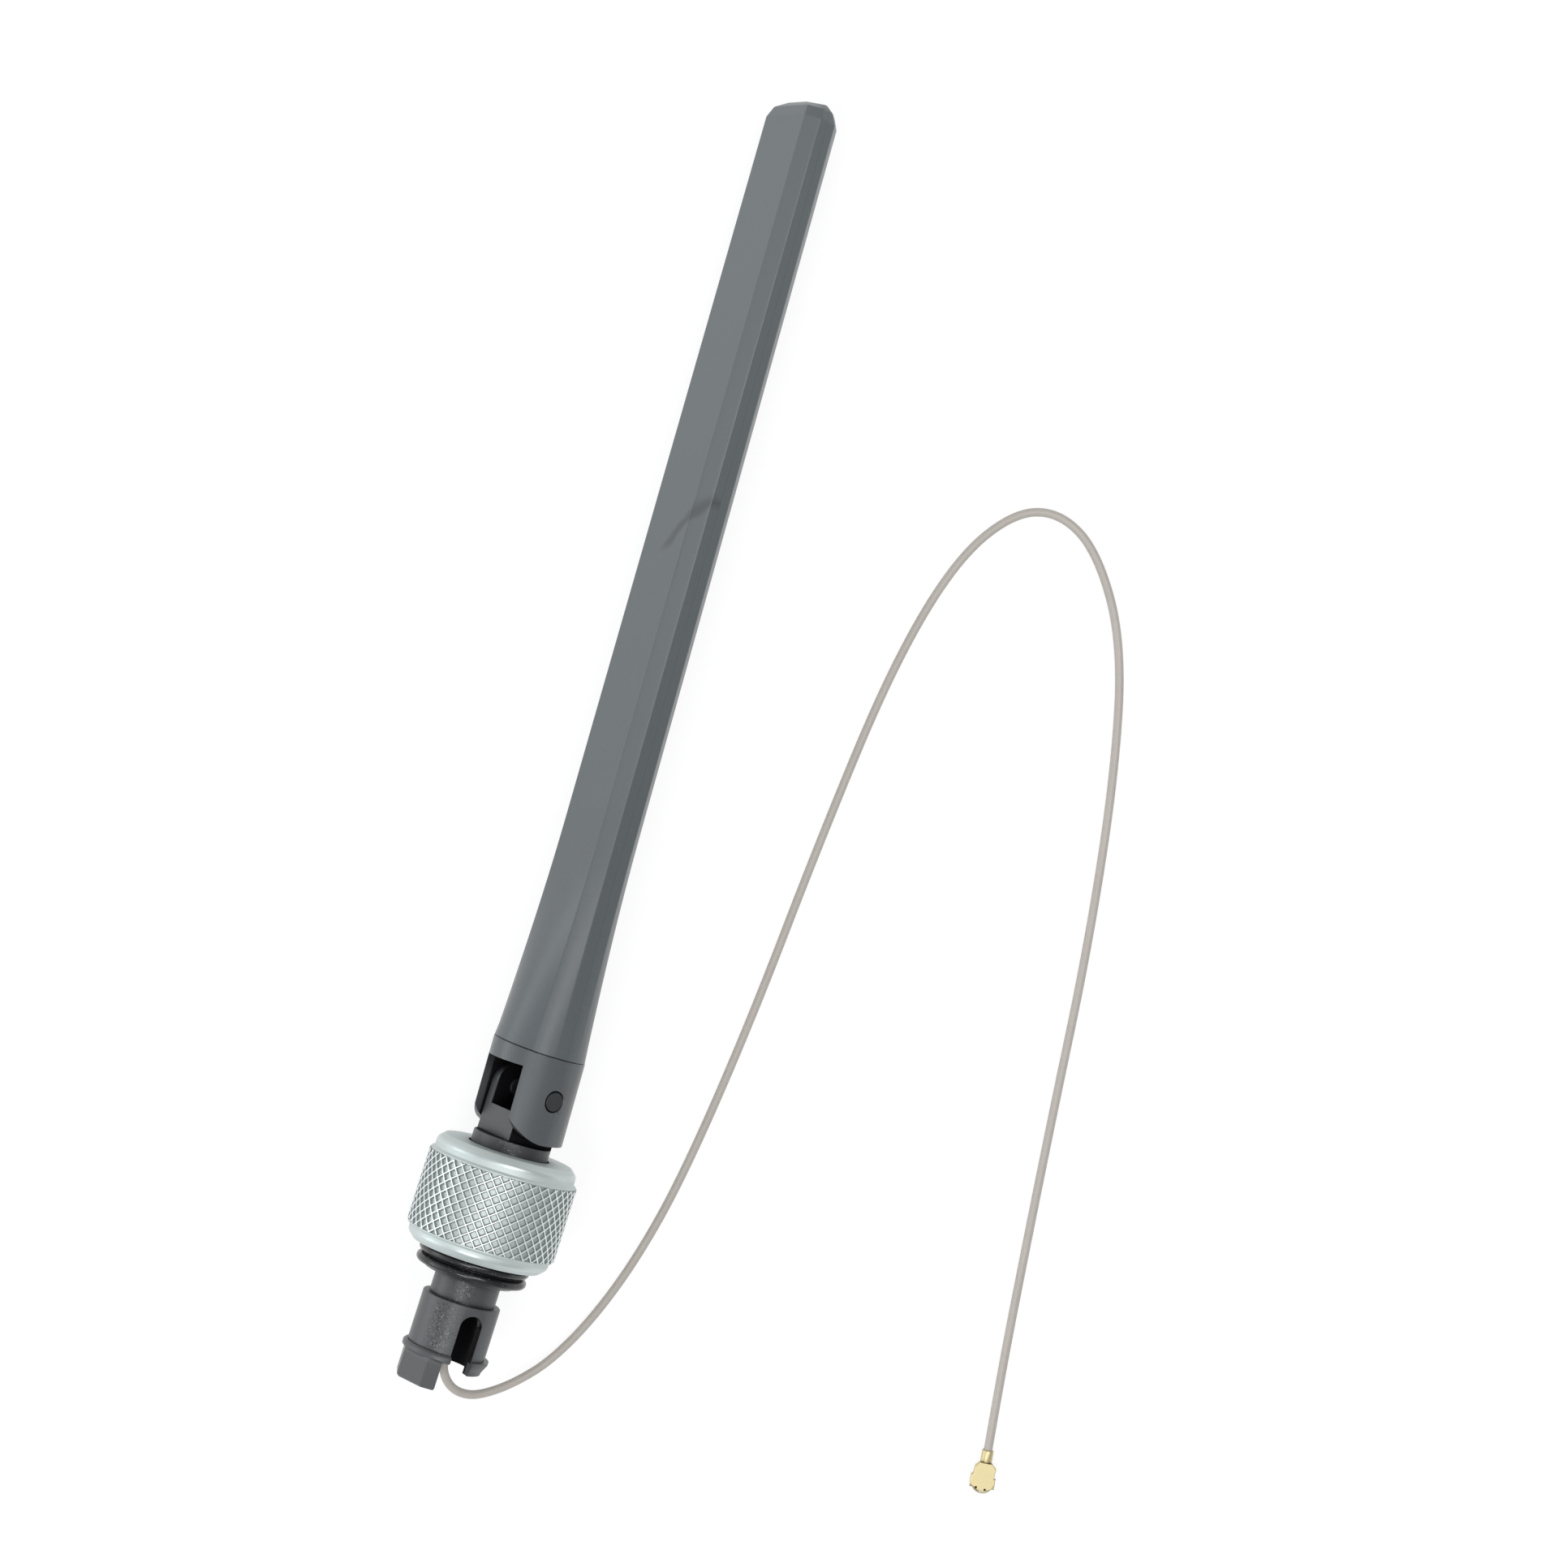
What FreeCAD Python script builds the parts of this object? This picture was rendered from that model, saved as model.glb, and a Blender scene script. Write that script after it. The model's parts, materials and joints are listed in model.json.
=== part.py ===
import FreeCAD, Part
import math
import os
from FreeCAD import Placement, Rotation, Vector

# A folding rod antenna for a drone controller, with its micro coax lead and push-on plug.
# It lies on a flat surface, touching it with the rim of the knurled nut, the rod's tip and
# the lead. Millimetres and degrees. Stations run along an axis from the fold's pivot, and
# grow towards the rod's tip. +Z is up and +Y runs along the foot and nut towards the tip.

# Pose on the surface
lean = 49.2  # turn of the fold's opening side away from straight up, to the left
rest_fold = 2.3  # fold that the rod keeps as it lies

# Rod: a closed moulding, round at its base and a flat octagon at its tip
rod_base_r = 6.05
rod_length = 126.5
rod_wall = 1.2
blend_length = 31.0
wide_at_blend = 10.75
thick_at_blend = 6.3
wide_at_tip = 10.6
thick_at_tip = 5.7
facet_wide = 1.4  # bevel leg along the wide face
facet_thick = 1.62  # bevel leg along the narrow side
tip_bevel_length = 1.9
tip_bevel_wide = 1.45
tip_bevel_thick = 0.8
base_angle_low = 17.0  # where the bevel's edges start on the round base
base_angle_high = 45.0

# Knuckle: the fork that the rod is glued on
knuckle_r = 6.1
parting_station = 5.3
ear_end_station = -5.7
ear_gap_half = 3.85
back_wall = 1.7
lintel_station = 3.5
spigot_r = 4.35
spigot_half_thick = 3.7
spigot_length = 4.5
edge_bevel = 0.12

# Hinge pins and the clearances of the fold
pin_r = 1.25
pin_play = 0.05
pin_recess = 0.15
pin_inner_reach = 2.0
pin_hole_bevel = 0.12

# Base moulding: tongue, collar, core, seal flange, neck and snap foot
tongue_half = 3.6
tongue_front = 3.25
tongue_back = 4.1
tongue_wall = 1.2
tongue_floor_station = -2.75
collar_r = 5.1
collar_top_station = -6.33
core_r = 4.85
flange_top_station = -21.4
flange_lip_r = 6.6
flange_lip = 0.25
lower_lip_r = 6.1
flange_end_station = -24.55
neck_r = 4.3
sleeve_top_station = -27.45
sleeve_r = 5.08
sleeve_bore_r = 3.7
bore_depth_station = -26.5
foot_turn = 168.9  # where the foot's slot points, about the axis
foot_slot_width = 3.0
foot_slot_top_station = -28.5
barb_r = 5.65
barb_ledge_station = -34.2
barb_land = 0.4
barb_end_station = -36.0
bead_r = 5.6
bead_station = -34.5
bead_width = 1.0
key_flat_r = 5.12
key_inner_edge = 2.2
key_end_station = -38.65
key_bevel = 0.3

# Seal rings
ring_section_r = 0.6
ring_groove_width = 1.3
ring_upper_station = -22.25
ring_lower_station = -23.6
ring_groove_r = 6.05

# Knurled nut and its slip washer
nut_top_station = -7.9
nut_length = 13.8
nut_hole_play = 0.25
nut_web = 3.2
nut_thread_minor_r = 7.46
nut_undercut_r = 7.95
nut_undercut_length = 1.1
nut_mouth_r = 8.1
nut_mouth_bevel = 0.65
nut_land_r = 9.22
nut_top_r = 8.35
nut_end_bevel = 0.8
nut_band_start = 2.0  # from the nut's top face to the raised band
nut_band_length = 10.1
nut_band_bevel = 0.3
nut_margin = 0.32
nut_margin_r = 9.62
knurl_ridge_r = 9.78
knurl_pit_r = 9.43
knurl_starts = 41
knurl_rows = 13
knurl_flat = 0.38  # share of each diamond pit that is flat at its bottom
washer_play = 0.05
washer_side_play = 0.05
washer_thickness = 0.85
washer_r = 7.7

# Coax lead, as it runs through the base, over the fold and into the rod
coax_r = 0.565
coax_bore_r = 0.8
coax_offset = 0.27  # its line lies this far to the fold's opening side of the axis
coax_base_end_station = 1.6
braid_r = 0.42
braid_length = 2.6
dielectric_r = 0.34
dielectric_length = 1.0
conductor_r = 0.13
conductor_length = 1.3
grommet_length = 2.0

# Circuit board in the rod, with its copper and solder
board_thick = 0.8
board_half_width = 3.4
board_end_play = 8.3  # between the board and the end of the hollow
feed_share = 0.3076  # share of the board below the feed, where the lead's jacket ends
copper_thick = 0.1
lower_arm_length = 24.0
lower_arm_half = 3.0
arm_strip = 1.4
feed_bar_length = 2.8
upper_start_gap = 3.4
upper_stem_length = 22.0
upper_stem_half = 0.9
upper_head_half = 2.8
meander_turns = 3
meander_pitch = 4.0
meander_strip = 0.8
top_arm_end = 15.6  # from the top arm to the board's far end
pad_half_width = 2.2
pad_length = 5.0
solder_height = 0.5
solder_share = 0.75  # share of a bare wire that its solder covers

# Route of the free lead: points after the first two, which follow from the grommet
lead_start_run = 2.8
lead_points = [
    (-0.05, -80.19, 11.0),
    (0.1, -82.54, 10.5),
    (0.85, -84.54, 9.7),
    (2.35, -85.99, 8.6),
    (4.6, -86.34, 7.4),
    (7.05, -85.29, 6.1),
    (9.75, -83.34, 4.7),
    (12.9, -80.09, 3.0),
    (16.35, -73.89, 1.5),
    (19.55, -64.89, 0.72),
    (22.2, -52.59, 0.57),
    (24.6, -30.59, 0.57),
    (26.2, -5.09, 0.57),
    (28.4, 19.41, 0.57),
    (32.2, 35.41, 0.57),
    (37.6, 43.61, 0.57),
    (43.3, 45.41, 0.57),
    (49.5, 42.01, 0.57),
    (56.2, 31.61, 0.57),
    (60.5, 14.61, 0.57),
    (63.9, -8.09, 0.57),
    (66.1, -31.09, 0.57),
    (68.6, -54.59, 0.57),
    (69.85, -65.59, 0.86),
    (71.07, -74.78, 0.86),
]

# Push-on plug at the lead's far end, lying with its mating side down
plug_barrel_r = 0.74
plug_barrel_length = 1.4
plug_lead_depth = 0.5  # how far the lead's jacket goes into the barrel
plug_lead_play = 0.02
plug_body_length = 4.1
plug_body_half = 1.33
plug_wing_half = 1.62
plug_wing_start = 1.9
plug_wing_length = 1.5
plug_sheet = 0.18
plug_top = 1.82
plug_skirt_bottom = 0.75
plug_ring_outer_r = 1.25
plug_ring_wall = 0.15
plug_ring_centre = 4.1
plug_ring_top = 1.0
plug_contact_r = 0.4
plug_contact_bore_r = 0.22
plug_contact_bottom = 0.35
plug_insulator_thick = 0.42
plug_dimple_r = 0.45
plug_dimple_depth = 0.05


def turned(points):
    """A solid turned about Z from a closed outline of (radius, station) points."""
    corners = [Vector(r, 0, z) for r, z in points]
    face = Part.Face(Part.makePolygon(corners + corners[:1]))
    return face.revolve(Vector(0, 0, 0), Vector(0, 0, 1), 360)


def rod_of(radius, low, high, x=0.0, y=0.0):
    """A cylinder along Z between two stations."""
    return Part.makeCylinder(radius, high - low, Vector(x, y, low))


def block(low, high):
    """A box between two corners."""
    size = [b - a for a, b in zip(low, high)]
    return Part.makeBox(size[0], size[1], size[2], Vector(*low))


def cross_rod(radius, x_low, x_high, y=0.0, z=0.0):
    """A cylinder along X."""
    return Part.makeCylinder(radius, x_high - x_low, Vector(x_low, y, z), Vector(1, 0, 0))


def merged(shapes):
    """One clean solid out of several that touch or overlap."""
    return shapes[0].multiFuse(shapes[1:]).removeSplitter()


# Rod outline


def octagon(wide, thick, inset=0.0):
    """The eight corners of the rod's flat section, from the +X side round to the start."""
    a = wide / 2 - inset
    b = thick / 2 - inset
    keep = 1 - math.tan(math.radians(22.5)) * inset / facet_wide
    leg_wide = facet_wide * max(keep, 0.4)
    leg_thick = facet_thick * max(keep, 0.4)
    quarter = [(a, b - leg_thick), (a - leg_wide, b)]
    mirrored = [(-x, y) for x, y in reversed(quarter)]
    half = quarter + mirrored
    return half + [(-x, -y) for x, y in half]


def base_ring(radius):
    """Eight points on the round base that the octagon's corners run down to."""
    turns = [base_angle_low, base_angle_high]
    turns += [180 - t for t in reversed(turns)]
    turns += [t + 180 for t in turns]
    return [(radius * math.cos(math.radians(t)), radius * math.sin(math.radians(t))) for t in turns]


def section_wire(station, share, radius, wide, thick, inset):
    """A section between round (share 0) and octagon (share 1), with sides that flatten."""
    start = base_ring(radius)
    end = octagon(wide, thick, inset)
    corners = [
        Vector(p[0] + (q[0] - p[0]) * share, p[1] + (q[1] - p[1]) * share, station)
        for p, q in zip(start, end)
    ]
    edges = []
    for n, corner in enumerate(corners):
        after = corners[(n + 1) % 8]
        if share >= 1:
            edges.append(Part.makeLine(corner, after))
            continue
        first = Vector(start[n][0], start[n][1], 0)
        second = Vector(start[(n + 1) % 8][0], start[(n + 1) % 8][1], 0)
        rise = radius - ((first + second) * 0.5).Length
        middle = (corner + after) * 0.5
        out = Vector(after.y - corner.y, corner.x - after.x, 0).normalize()
        crown = middle + out * rise * (1 - share)
        edges.append(Part.Arc(corner, crown, after).toShape())
    return Part.Wire(edges)


def rod_body(inset, high, beveled):
    """The rod's outer body, or the hollow in it when inset by the wall."""
    base = parting_station
    radius = rod_base_r - inset
    steps = 5
    wires = []
    for n in range(steps):
        share = math.sin(math.pi / 2 * n / steps)
        station = base + blend_length * n / steps
        wires.append(section_wire(station, share, radius, wide_at_blend, thick_at_blend, inset))
    blend_end = base + blend_length
    full = section_wire(blend_end, 1, radius, wide_at_blend, thick_at_blend, inset)
    lower = Part.makeLoft(wires + [full], True, False)
    tip_wire = section_wire(high, 1, radius, wide_at_tip, thick_at_tip, inset)
    upper = Part.makeLoft([full, tip_wire], True, True)
    parts = [lower, upper]
    if beveled:
        small = octagon(wide_at_tip - 2 * tip_bevel_wide, thick_at_tip - 2 * tip_bevel_thick)
        corners = [Vector(x, y, high + tip_bevel_length) for x, y in small]
        cap = Part.makePolygon(corners + corners[:1])
        parts.append(Part.makeLoft([tip_wire, cap], True, True))
    return merged(parts)


def hollow_end_station():
    """Where the hollow in the rod ends, short of the tip's bevels."""
    return parting_station + rod_length - tip_bevel_length - rod_wall / 2


def radome_shell():
    """The hollow rod, open at its base."""
    outer = rod_body(0.0, parting_station + rod_length - tip_bevel_length, True)
    hollow = rod_body(rod_wall, hollow_end_station(), False)
    shell = outer.cut(hollow)
    mouth = turned(
        [
            (rod_base_r - edge_bevel, parting_station),
            (rod_base_r + 1, parting_station),
            (rod_base_r + 1, parting_station + edge_bevel),
            (rod_base_r, parting_station + edge_bevel),
        ]
    )
    return shell.cut(mouth)


# Hinge


def hinge_knuckle():
    """The fork under the rod: two ears, a back wall that stops the fold, and a spigot."""
    top = parting_station
    body = turned(
        [
            (0, ear_end_station),
            (knuckle_r, ear_end_station),
            (knuckle_r, top - edge_bevel),
            (knuckle_r - edge_bevel, top),
            (0, top),
        ]
    )
    spigot = rod_of(spigot_r, top, top + spigot_length)
    wide = 2 * spigot_r
    flats = block((-wide, -spigot_half_thick, top), (wide, spigot_half_thick, top + spigot_length))
    body = merged([body, spigot.common(flats)])
    back_face = back_wall - knuckle_r
    gap = block(
        (-ear_gap_half, back_face, ear_end_station - 1),
        (ear_gap_half, 2 * knuckle_r, lintel_station),
    )
    body = body.cut(gap)
    swing = -ear_end_station
    corner = block((-2 * knuckle_r, 0, -2 * swing), (2 * knuckle_r, 2 * knuckle_r, 0))
    round_end = cross_rod(swing, -2 * knuckle_r, 2 * knuckle_r)
    body = body.cut(corner.cut(round_end))
    body = body.cut(cross_rod(pin_r, -knuckle_r - 1, knuckle_r + 1))
    for side in (-1, 1):
        body = body.cut(pin_countersink(side))
    coax_top = top + spigot_length + 1
    body = body.cut(rod_of(coax_bore_r, lintel_station - 1, coax_top, 0, coax_offset))
    return body


def pin_countersink(side):
    """The small bevel at the outer end of a pin's hole."""
    inner = knuckle_r - pin_recess - 2 * pin_hole_bevel
    outer = knuckle_r + pin_hole_bevel
    return Part.makeCone(
        pin_r,
        pin_r + outer - inner,
        outer - inner,
        Vector(side * inner, 0, 0),
        Vector(side, 0, 0),
    )


def hinge_pin(side):
    """A stub pin from an ear into the tongue's wall, so that the lead can pass between."""
    outer = knuckle_r - pin_recess
    start = Vector(side * pin_inner_reach, 0, 0)
    return Part.makeCylinder(pin_r, outer - pin_inner_reach, start, Vector(side, 0, 0))


# Base moulding


def foot_side(sign, edge, low, high):
    """A large block on one side of the foot's slot, beyond the given distance."""
    size = 4 * barb_r
    piece = block((edge, -size, low), (size, size, high))
    turn = foot_turn - 90
    if sign < 0:
        turn += 180
    return piece.rotate(Vector(0, 0, 0), Vector(0, 0, 1), turn)


def tongue():
    """The two-walled tongue that stands in the knuckle's fork."""
    front = tongue_front
    back = tongue_back
    low = collar_top_station - 0.5
    step = back - front
    edges = [
        Part.makeLine(Vector(0, front, low), Vector(0, front, 0)),
        Part.Arc(Vector(0, front, 0), Vector(0, 0, front), Vector(0, -front, 0)).toShape(),
        Part.makeLine(Vector(0, -front, 0), Vector(0, -back, -step)),
        Part.makeLine(Vector(0, -back, -step), Vector(0, -back, low)),
        Part.makeLine(Vector(0, -back, low), Vector(0, front, low)),
    ]
    face = Part.Face(Part.Wire(edges))
    face.translate(Vector(-tongue_half, 0, 0))
    body = face.extrude(Vector(2 * tongue_half, 0, 0))
    body = body.common(rod_of(collar_r, low, 2 * front))
    inner = tongue_half - tongue_wall
    body = body.cut(block((-inner, -2 * back, tongue_floor_station), (inner, 2 * back, 2 * front)))
    return body.cut(cross_rod(pin_r + pin_play, -2 * tongue_half, 2 * tongue_half))


def turned_base():
    """Collar, core, flange with two ring grooves, neck and sleeve, without the bore."""
    half = ring_groove_width / 2
    outline = [
        (0, collar_top_station),
        (collar_r - edge_bevel, collar_top_station),
        (collar_r, collar_top_station - edge_bevel),
        (collar_r, shoulder_station()),
        (core_r, shoulder_station()),
        (core_r, flange_top_station),
        (flange_lip_r, flange_top_station),
    ]
    for station in (ring_upper_station, ring_lower_station):
        outline += [
            (outline[-1][0], station + half),
            (ring_groove_r, station + half),
            (ring_groove_r, station - half),
            (flange_lip_r, station - half),
        ]
    outline[-1] = (lower_lip_r, ring_lower_station - half)
    outline += [
        (lower_lip_r, flange_end_station + flange_lip),
        (lower_lip_r - flange_lip, flange_end_station),
        (neck_r, flange_end_station),
        (neck_r, sleeve_top_station),
        (sleeve_r - edge_bevel, sleeve_top_station),
        (sleeve_r, sleeve_top_station - edge_bevel),
        (sleeve_r, barb_end_station),
        (0, barb_end_station),
    ]
    return turned(outline)


def shoulder_station():
    """Where the collar steps down to the core, which stops the nut's washer."""
    return nut_top_station - nut_web


def foot_slot():
    """The U-shaped slot that splits the sleeve into two springy legs."""
    half = foot_slot_width / 2
    centre = foot_slot_top_station - half
    reach = 3 * sleeve_r
    arch = cross_rod(half, -reach, reach, 0, centre)
    straight = block((-reach, -half, 2 * key_end_station), (reach, half, centre))
    cut = merged([arch, straight])
    return cut.rotate(Vector(0, 0, 0), Vector(0, 0, 1), foot_turn)


def key_block():
    """The faceted block that goes on below the left leg and keys the foot in its socket."""
    corners = []
    circle = key_flat_r / math.cos(math.radians(22.5))
    for n in range(8):
        turn = math.radians(foot_turn - 90 + 45 * n)
        corners.append((circle * math.cos(turn), circle * math.sin(turn)))
    low = key_end_station
    top = bead_station
    shrink = (key_flat_r - key_bevel) / key_flat_r
    wires = []
    for station, size in ((top, 1.0), (low + key_bevel, 1.0), (low, shrink)):
        points = [Vector(x * size, y * size, station) for x, y in corners]
        wires.append(Part.makePolygon(points + points[:1]))
    body = Part.makeLoft(wires, True, True)
    return body.common(foot_side(1, key_inner_edge, low - 1, top))


def bead_and_barb():
    """The half-round bead over the key block and the snap barb on the other leg."""
    half = bead_width / 2
    chamfer = bead_width / 4
    bead = turned(
        [
            (sleeve_bore_r, bead_station - half),
            (bead_r - chamfer, bead_station - half),
            (bead_r, bead_station - chamfer),
            (bead_r, bead_station + chamfer),
            (bead_r - chamfer, bead_station + half),
            (sleeve_bore_r, bead_station + half),
        ]
    )
    low = bead_station - bead_width
    high = bead_station + bead_width
    edge = foot_slot_width / 2
    bead = bead.common(foot_side(1, edge, low, high))
    barb = turned(
        [
            (sleeve_bore_r, barb_ledge_station),
            (barb_r, barb_ledge_station),
            (barb_r, barb_ledge_station - barb_land),
            (sleeve_r - edge_bevel, barb_end_station),
            (sleeve_bore_r, barb_end_station),
        ]
    )
    barb = barb.common(foot_side(-1, edge, barb_end_station - 1, barb_ledge_station + 1))
    return [bead, barb]


def mount_body():
    """Tongue, collar, core, flange, neck, sleeve, key block and barb, as one moulding."""
    body = turned_base()
    inner = foot_side(1, foot_slot_width / 2, barb_end_station - 1, bead_station)
    body = body.cut(inner)
    body = merged([body, sleeve_leg_end(), tongue(), key_block()] + bead_and_barb())
    body = body.cut(rod_of(sleeve_bore_r, 2 * key_end_station, bore_depth_station))
    body = body.cut(foot_slot())
    return body.cut(rod_of(coax_bore_r, bore_depth_station - 1, 0, 0, coax_offset))


def sleeve_leg_end():
    """The end of the sleeve on the key leg, under its bead."""
    ring = rod_of(sleeve_r, bead_station - bead_width / 2, bead_station + bead_width)
    return ring.common(foot_side(1, foot_slot_width / 2, 2 * key_end_station, 0))


def o_ring(station):
    """A rubber ring seated in a groove of the flange."""
    ring = Part.makeTorus(ring_groove_r + ring_section_r, ring_section_r)
    ring.translate(Vector(0, 0, station))
    return ring


# Knurled nut


def knurl_point(column, row):
    """A point of the knurl's lattice, on the crossings of its raised ridges."""
    turn = math.pi * column / knurl_starts
    top = nut_top_station - nut_band_start - nut_margin
    length = nut_band_length - 2 * nut_margin
    station = top - length * row / knurl_rows
    return Vector(knurl_ridge_r * math.cos(turn), knurl_ridge_r * math.sin(turn), station)


def diamond_pit(column, row):
    """Six flat faces of one diamond pit between ridges: four flanks and its flat bottom."""
    rim = [
        knurl_point(column - 1, row),
        knurl_point(column, row + 1),
        knurl_point(column + 1, row),
        knurl_point(column, row - 1),
    ]
    apex_r = (knurl_pit_r - knurl_flat * knurl_ridge_r) / (1 - knurl_flat)
    middle = knurl_point(column, row)
    apex = Vector(middle.x, middle.y, 0) * (apex_r / knurl_ridge_r) + Vector(0, 0, middle.z)
    bottom = [apex + (corner - apex) * knurl_flat for corner in rim]
    faces = []
    for n in range(4):
        m = (n + 1) % 4
        faces.append(flat_face([rim[n], rim[m], bottom[m], bottom[n]]))
    faces.append(flat_face([bottom[0], bottom[1], bottom[3]]))
    faces.append(flat_face([bottom[1], bottom[2], bottom[3]]))
    return faces


def flat_face(corners):
    """A flat face through its corners."""
    return Part.Face(Part.makePolygon(corners + corners[:1]))


def knurl_faces():
    """All pits of the band, with the plain triangles that close its two ends."""
    faces = []
    for row in range(knurl_rows + 1):
        for column in range(2 * knurl_starts):
            if (column + row) % 2:
                continue
            if 0 < row < knurl_rows:
                faces += diamond_pit(column, row)
                continue
            inward = row + 1 if row == 0 else row - 1
            corners = [
                knurl_point(column - 1, row),
                knurl_point(column + 1, row),
                knurl_point(column, inward),
            ]
            faces.append(flat_face(corners))
    return faces


def band_step(row):
    """The flat ring between a plain margin and the knurl's first or last row."""
    first = 1 - row % 2
    corners = [knurl_point(first + 2 * n, row) for n in range(knurl_starts)]
    inner = Part.makePolygon(corners + corners[:1])
    station = corners[0].z
    outer = Part.Wire([Part.makeCircle(nut_margin_r, Vector(0, 0, station))])
    return Part.Face([outer, inner], "Part::FaceMakerBullseye")


def nut_outline():
    """Radius and station of the nut's turned surface, from the band's end round to its start."""
    top = nut_top_station
    bottom = top - nut_length
    band_top = top - nut_band_start
    band_end = band_top - nut_band_length
    hole_r = collar_r + nut_hole_play
    web_end = top - nut_web
    undercut_end = web_end - nut_undercut_length
    return [
        (nut_margin_r, band_top - nut_margin),
        (nut_margin_r, band_top - nut_band_bevel / 2),
        (nut_land_r, band_top + nut_band_bevel / 2),
        (nut_land_r, top - nut_end_bevel),
        (nut_top_r, top),
        (hole_r + edge_bevel, top),
        (hole_r, top - edge_bevel),
        (hole_r, web_end),
        (nut_undercut_r, web_end),
        (nut_undercut_r, undercut_end),
        (nut_thread_minor_r, undercut_end - (nut_undercut_r - nut_thread_minor_r)),
        (nut_thread_minor_r, bottom + nut_mouth_bevel),
        (nut_mouth_r, bottom),
        (nut_top_r, bottom),
        (nut_land_r, bottom + nut_end_bevel),
        (nut_land_r, band_end - nut_band_bevel / 2),
        (nut_margin_r, band_end + nut_band_bevel / 2),
        (nut_margin_r, band_end + nut_margin),
    ]


def knurled_nut():
    """The union nut: a turned body whose raised band carries a diamond knurl."""
    points = [Vector(r, 0, z) for r, z in nut_outline()]
    turned_faces = Part.makePolygon(points).revolve(Vector(0, 0, 0), Vector(0, 0, 1), 360)
    faces = list(turned_faces.Faces) + knurl_faces() + [band_step(0), band_step(knurl_rows)]
    shell = Part.makeShell(faces)
    shell.sewShape()
    closed = shell if shell.ShapeType == "Shell" else shell.Shells[0]
    solid = Part.Solid(closed)
    if solid.Volume < 0:
        solid.reverse()
    return solid


def slip_washer():
    """The plastic washer under the nut's web, which slides on the core and stops at the collar."""
    top = shoulder_station() - washer_side_play
    low = top - washer_thickness
    ring = rod_of(washer_r, low, top)
    return ring.cut(rod_of(core_r + washer_play, low - 1, top + 1))


# Lead inside the antenna


def cable_grommet():
    """The rubber grommet that seals the lead in the base's bore."""
    low = bore_depth_station - grommet_length
    body = rod_of(sleeve_bore_r, low, bore_depth_station)
    return body.cut(rod_of(coax_r, low - 1, bore_depth_station + 1, 0, coax_offset))


def coax_base_run():
    """The lead from the grommet through the base to the fold."""
    low = bore_depth_station - grommet_length
    return rod_of(coax_r, low, coax_base_end_station, 0, coax_offset)


def coax_rod_run():
    """The lead from the knuckle up the rod to the board's feed."""
    return rod_of(coax_r, lintel_station, feed_station(), 0, coax_offset)


def stripped_end():
    """Braid, dielectric and inner conductor where the lead's end is stripped."""
    braid_end = feed_station() + braid_length
    dielectric_end = braid_end + dielectric_length
    conductor_end = dielectric_end + conductor_length
    braid = rod_of(braid_r, feed_station(), braid_end, 0, coax_offset)
    dielectric = rod_of(dielectric_r, braid_end, dielectric_end, 0, coax_offset)
    conductor = rod_of(conductor_r, dielectric_end, conductor_end, 0, coax_offset)
    return braid, dielectric, conductor


# Circuit board


def copper_top():
    """Height of the copper's free face, which the lead's jacket lies on."""
    return coax_offset - coax_r


def board_low_station():
    """The board stands on the knuckle's spigot."""
    return parting_station + spigot_length


def board_end_station():
    """The board's far end, which follows the end of the hollow."""
    return hollow_end_station() - board_end_play


def feed_station():
    """Where the lead's jacket ends and its core is soldered, along the board."""
    low = board_low_station()
    return low + feed_share * (board_end_station() - low)


def antenna_board():
    """The glass-fibre board that carries the printed arms."""
    face = copper_top() - copper_thick
    return block(
        (-board_half_width, face - board_thick, board_low_station()),
        (board_half_width, face, board_end_station()),
    )


def copper_strip(x_low, x_high, low, high):
    """One straight piece of copper on the board's face."""
    face = copper_top()
    return block((x_low, face - copper_thick, low), (x_high, face, high))


def radiator_lower():
    """The lower arm: a bar at the feed with two strips that run down beside the lead."""
    top = feed_station() + feed_bar_length
    bar = copper_strip(-lower_arm_half, lower_arm_half, feed_station(), top)
    pieces = [bar]
    for side in (-1, 1):
        edges = sorted((side * lower_arm_half, side * (lower_arm_half - arm_strip)))
        pieces.append(copper_strip(edges[0], edges[1], top - lower_arm_length, top))
    return merged(pieces)


def radiator_upper():
    """The upper arm, its meander line and the top arm, as one piece of copper."""
    start = feed_station() + upper_start_gap
    head = start + upper_stem_length
    pieces = [
        copper_strip(-upper_stem_half, upper_stem_half, start, head),
        copper_strip(-upper_head_half, upper_head_half, head - arm_strip, head),
    ]
    for side in (-1, 1):
        edges = sorted((side * upper_head_half, side * (upper_head_half - arm_strip)))
        pieces.append(copper_strip(edges[0], edges[1], start + upper_start_gap, head))
    strip = meander_strip / 2
    station = head
    reach = upper_head_half
    for n in range(meander_turns):
        side = 1 if n % 2 else -1
        outer = side * (reach - strip)
        middle = station + meander_pitch / 2
        pieces.append(copper_strip(-strip, strip, station - strip, middle - meander_strip))
        across = sorted((-side * strip, outer + side * strip))
        low = middle - 2 * meander_strip
        pieces.append(copper_strip(across[0], across[1], low, low + meander_strip))
        side_edges = sorted((outer - strip, outer + strip))
        after = station + meander_pitch - strip
        pieces.append(copper_strip(side_edges[0], side_edges[1], low, after))
        pieces.append(copper_strip(across[0], across[1], after - meander_strip, after))
        station += meander_pitch
    top = board_end_station() - top_arm_end
    pieces.append(copper_strip(-upper_stem_half, upper_stem_half, station - meander_strip, top))
    return merged(pieces)


def solder_pair():
    """The shield's joint on the lower arm and the conductor's joint on the upper arm."""
    shield = solder_block(feed_station() + braid_length / 2, braid_length, braid_r)
    inner_start = feed_station() + braid_length + dielectric_length
    feed = solder_block(inner_start + conductor_length / 2, conductor_length, conductor_r)
    return shield, feed


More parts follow.
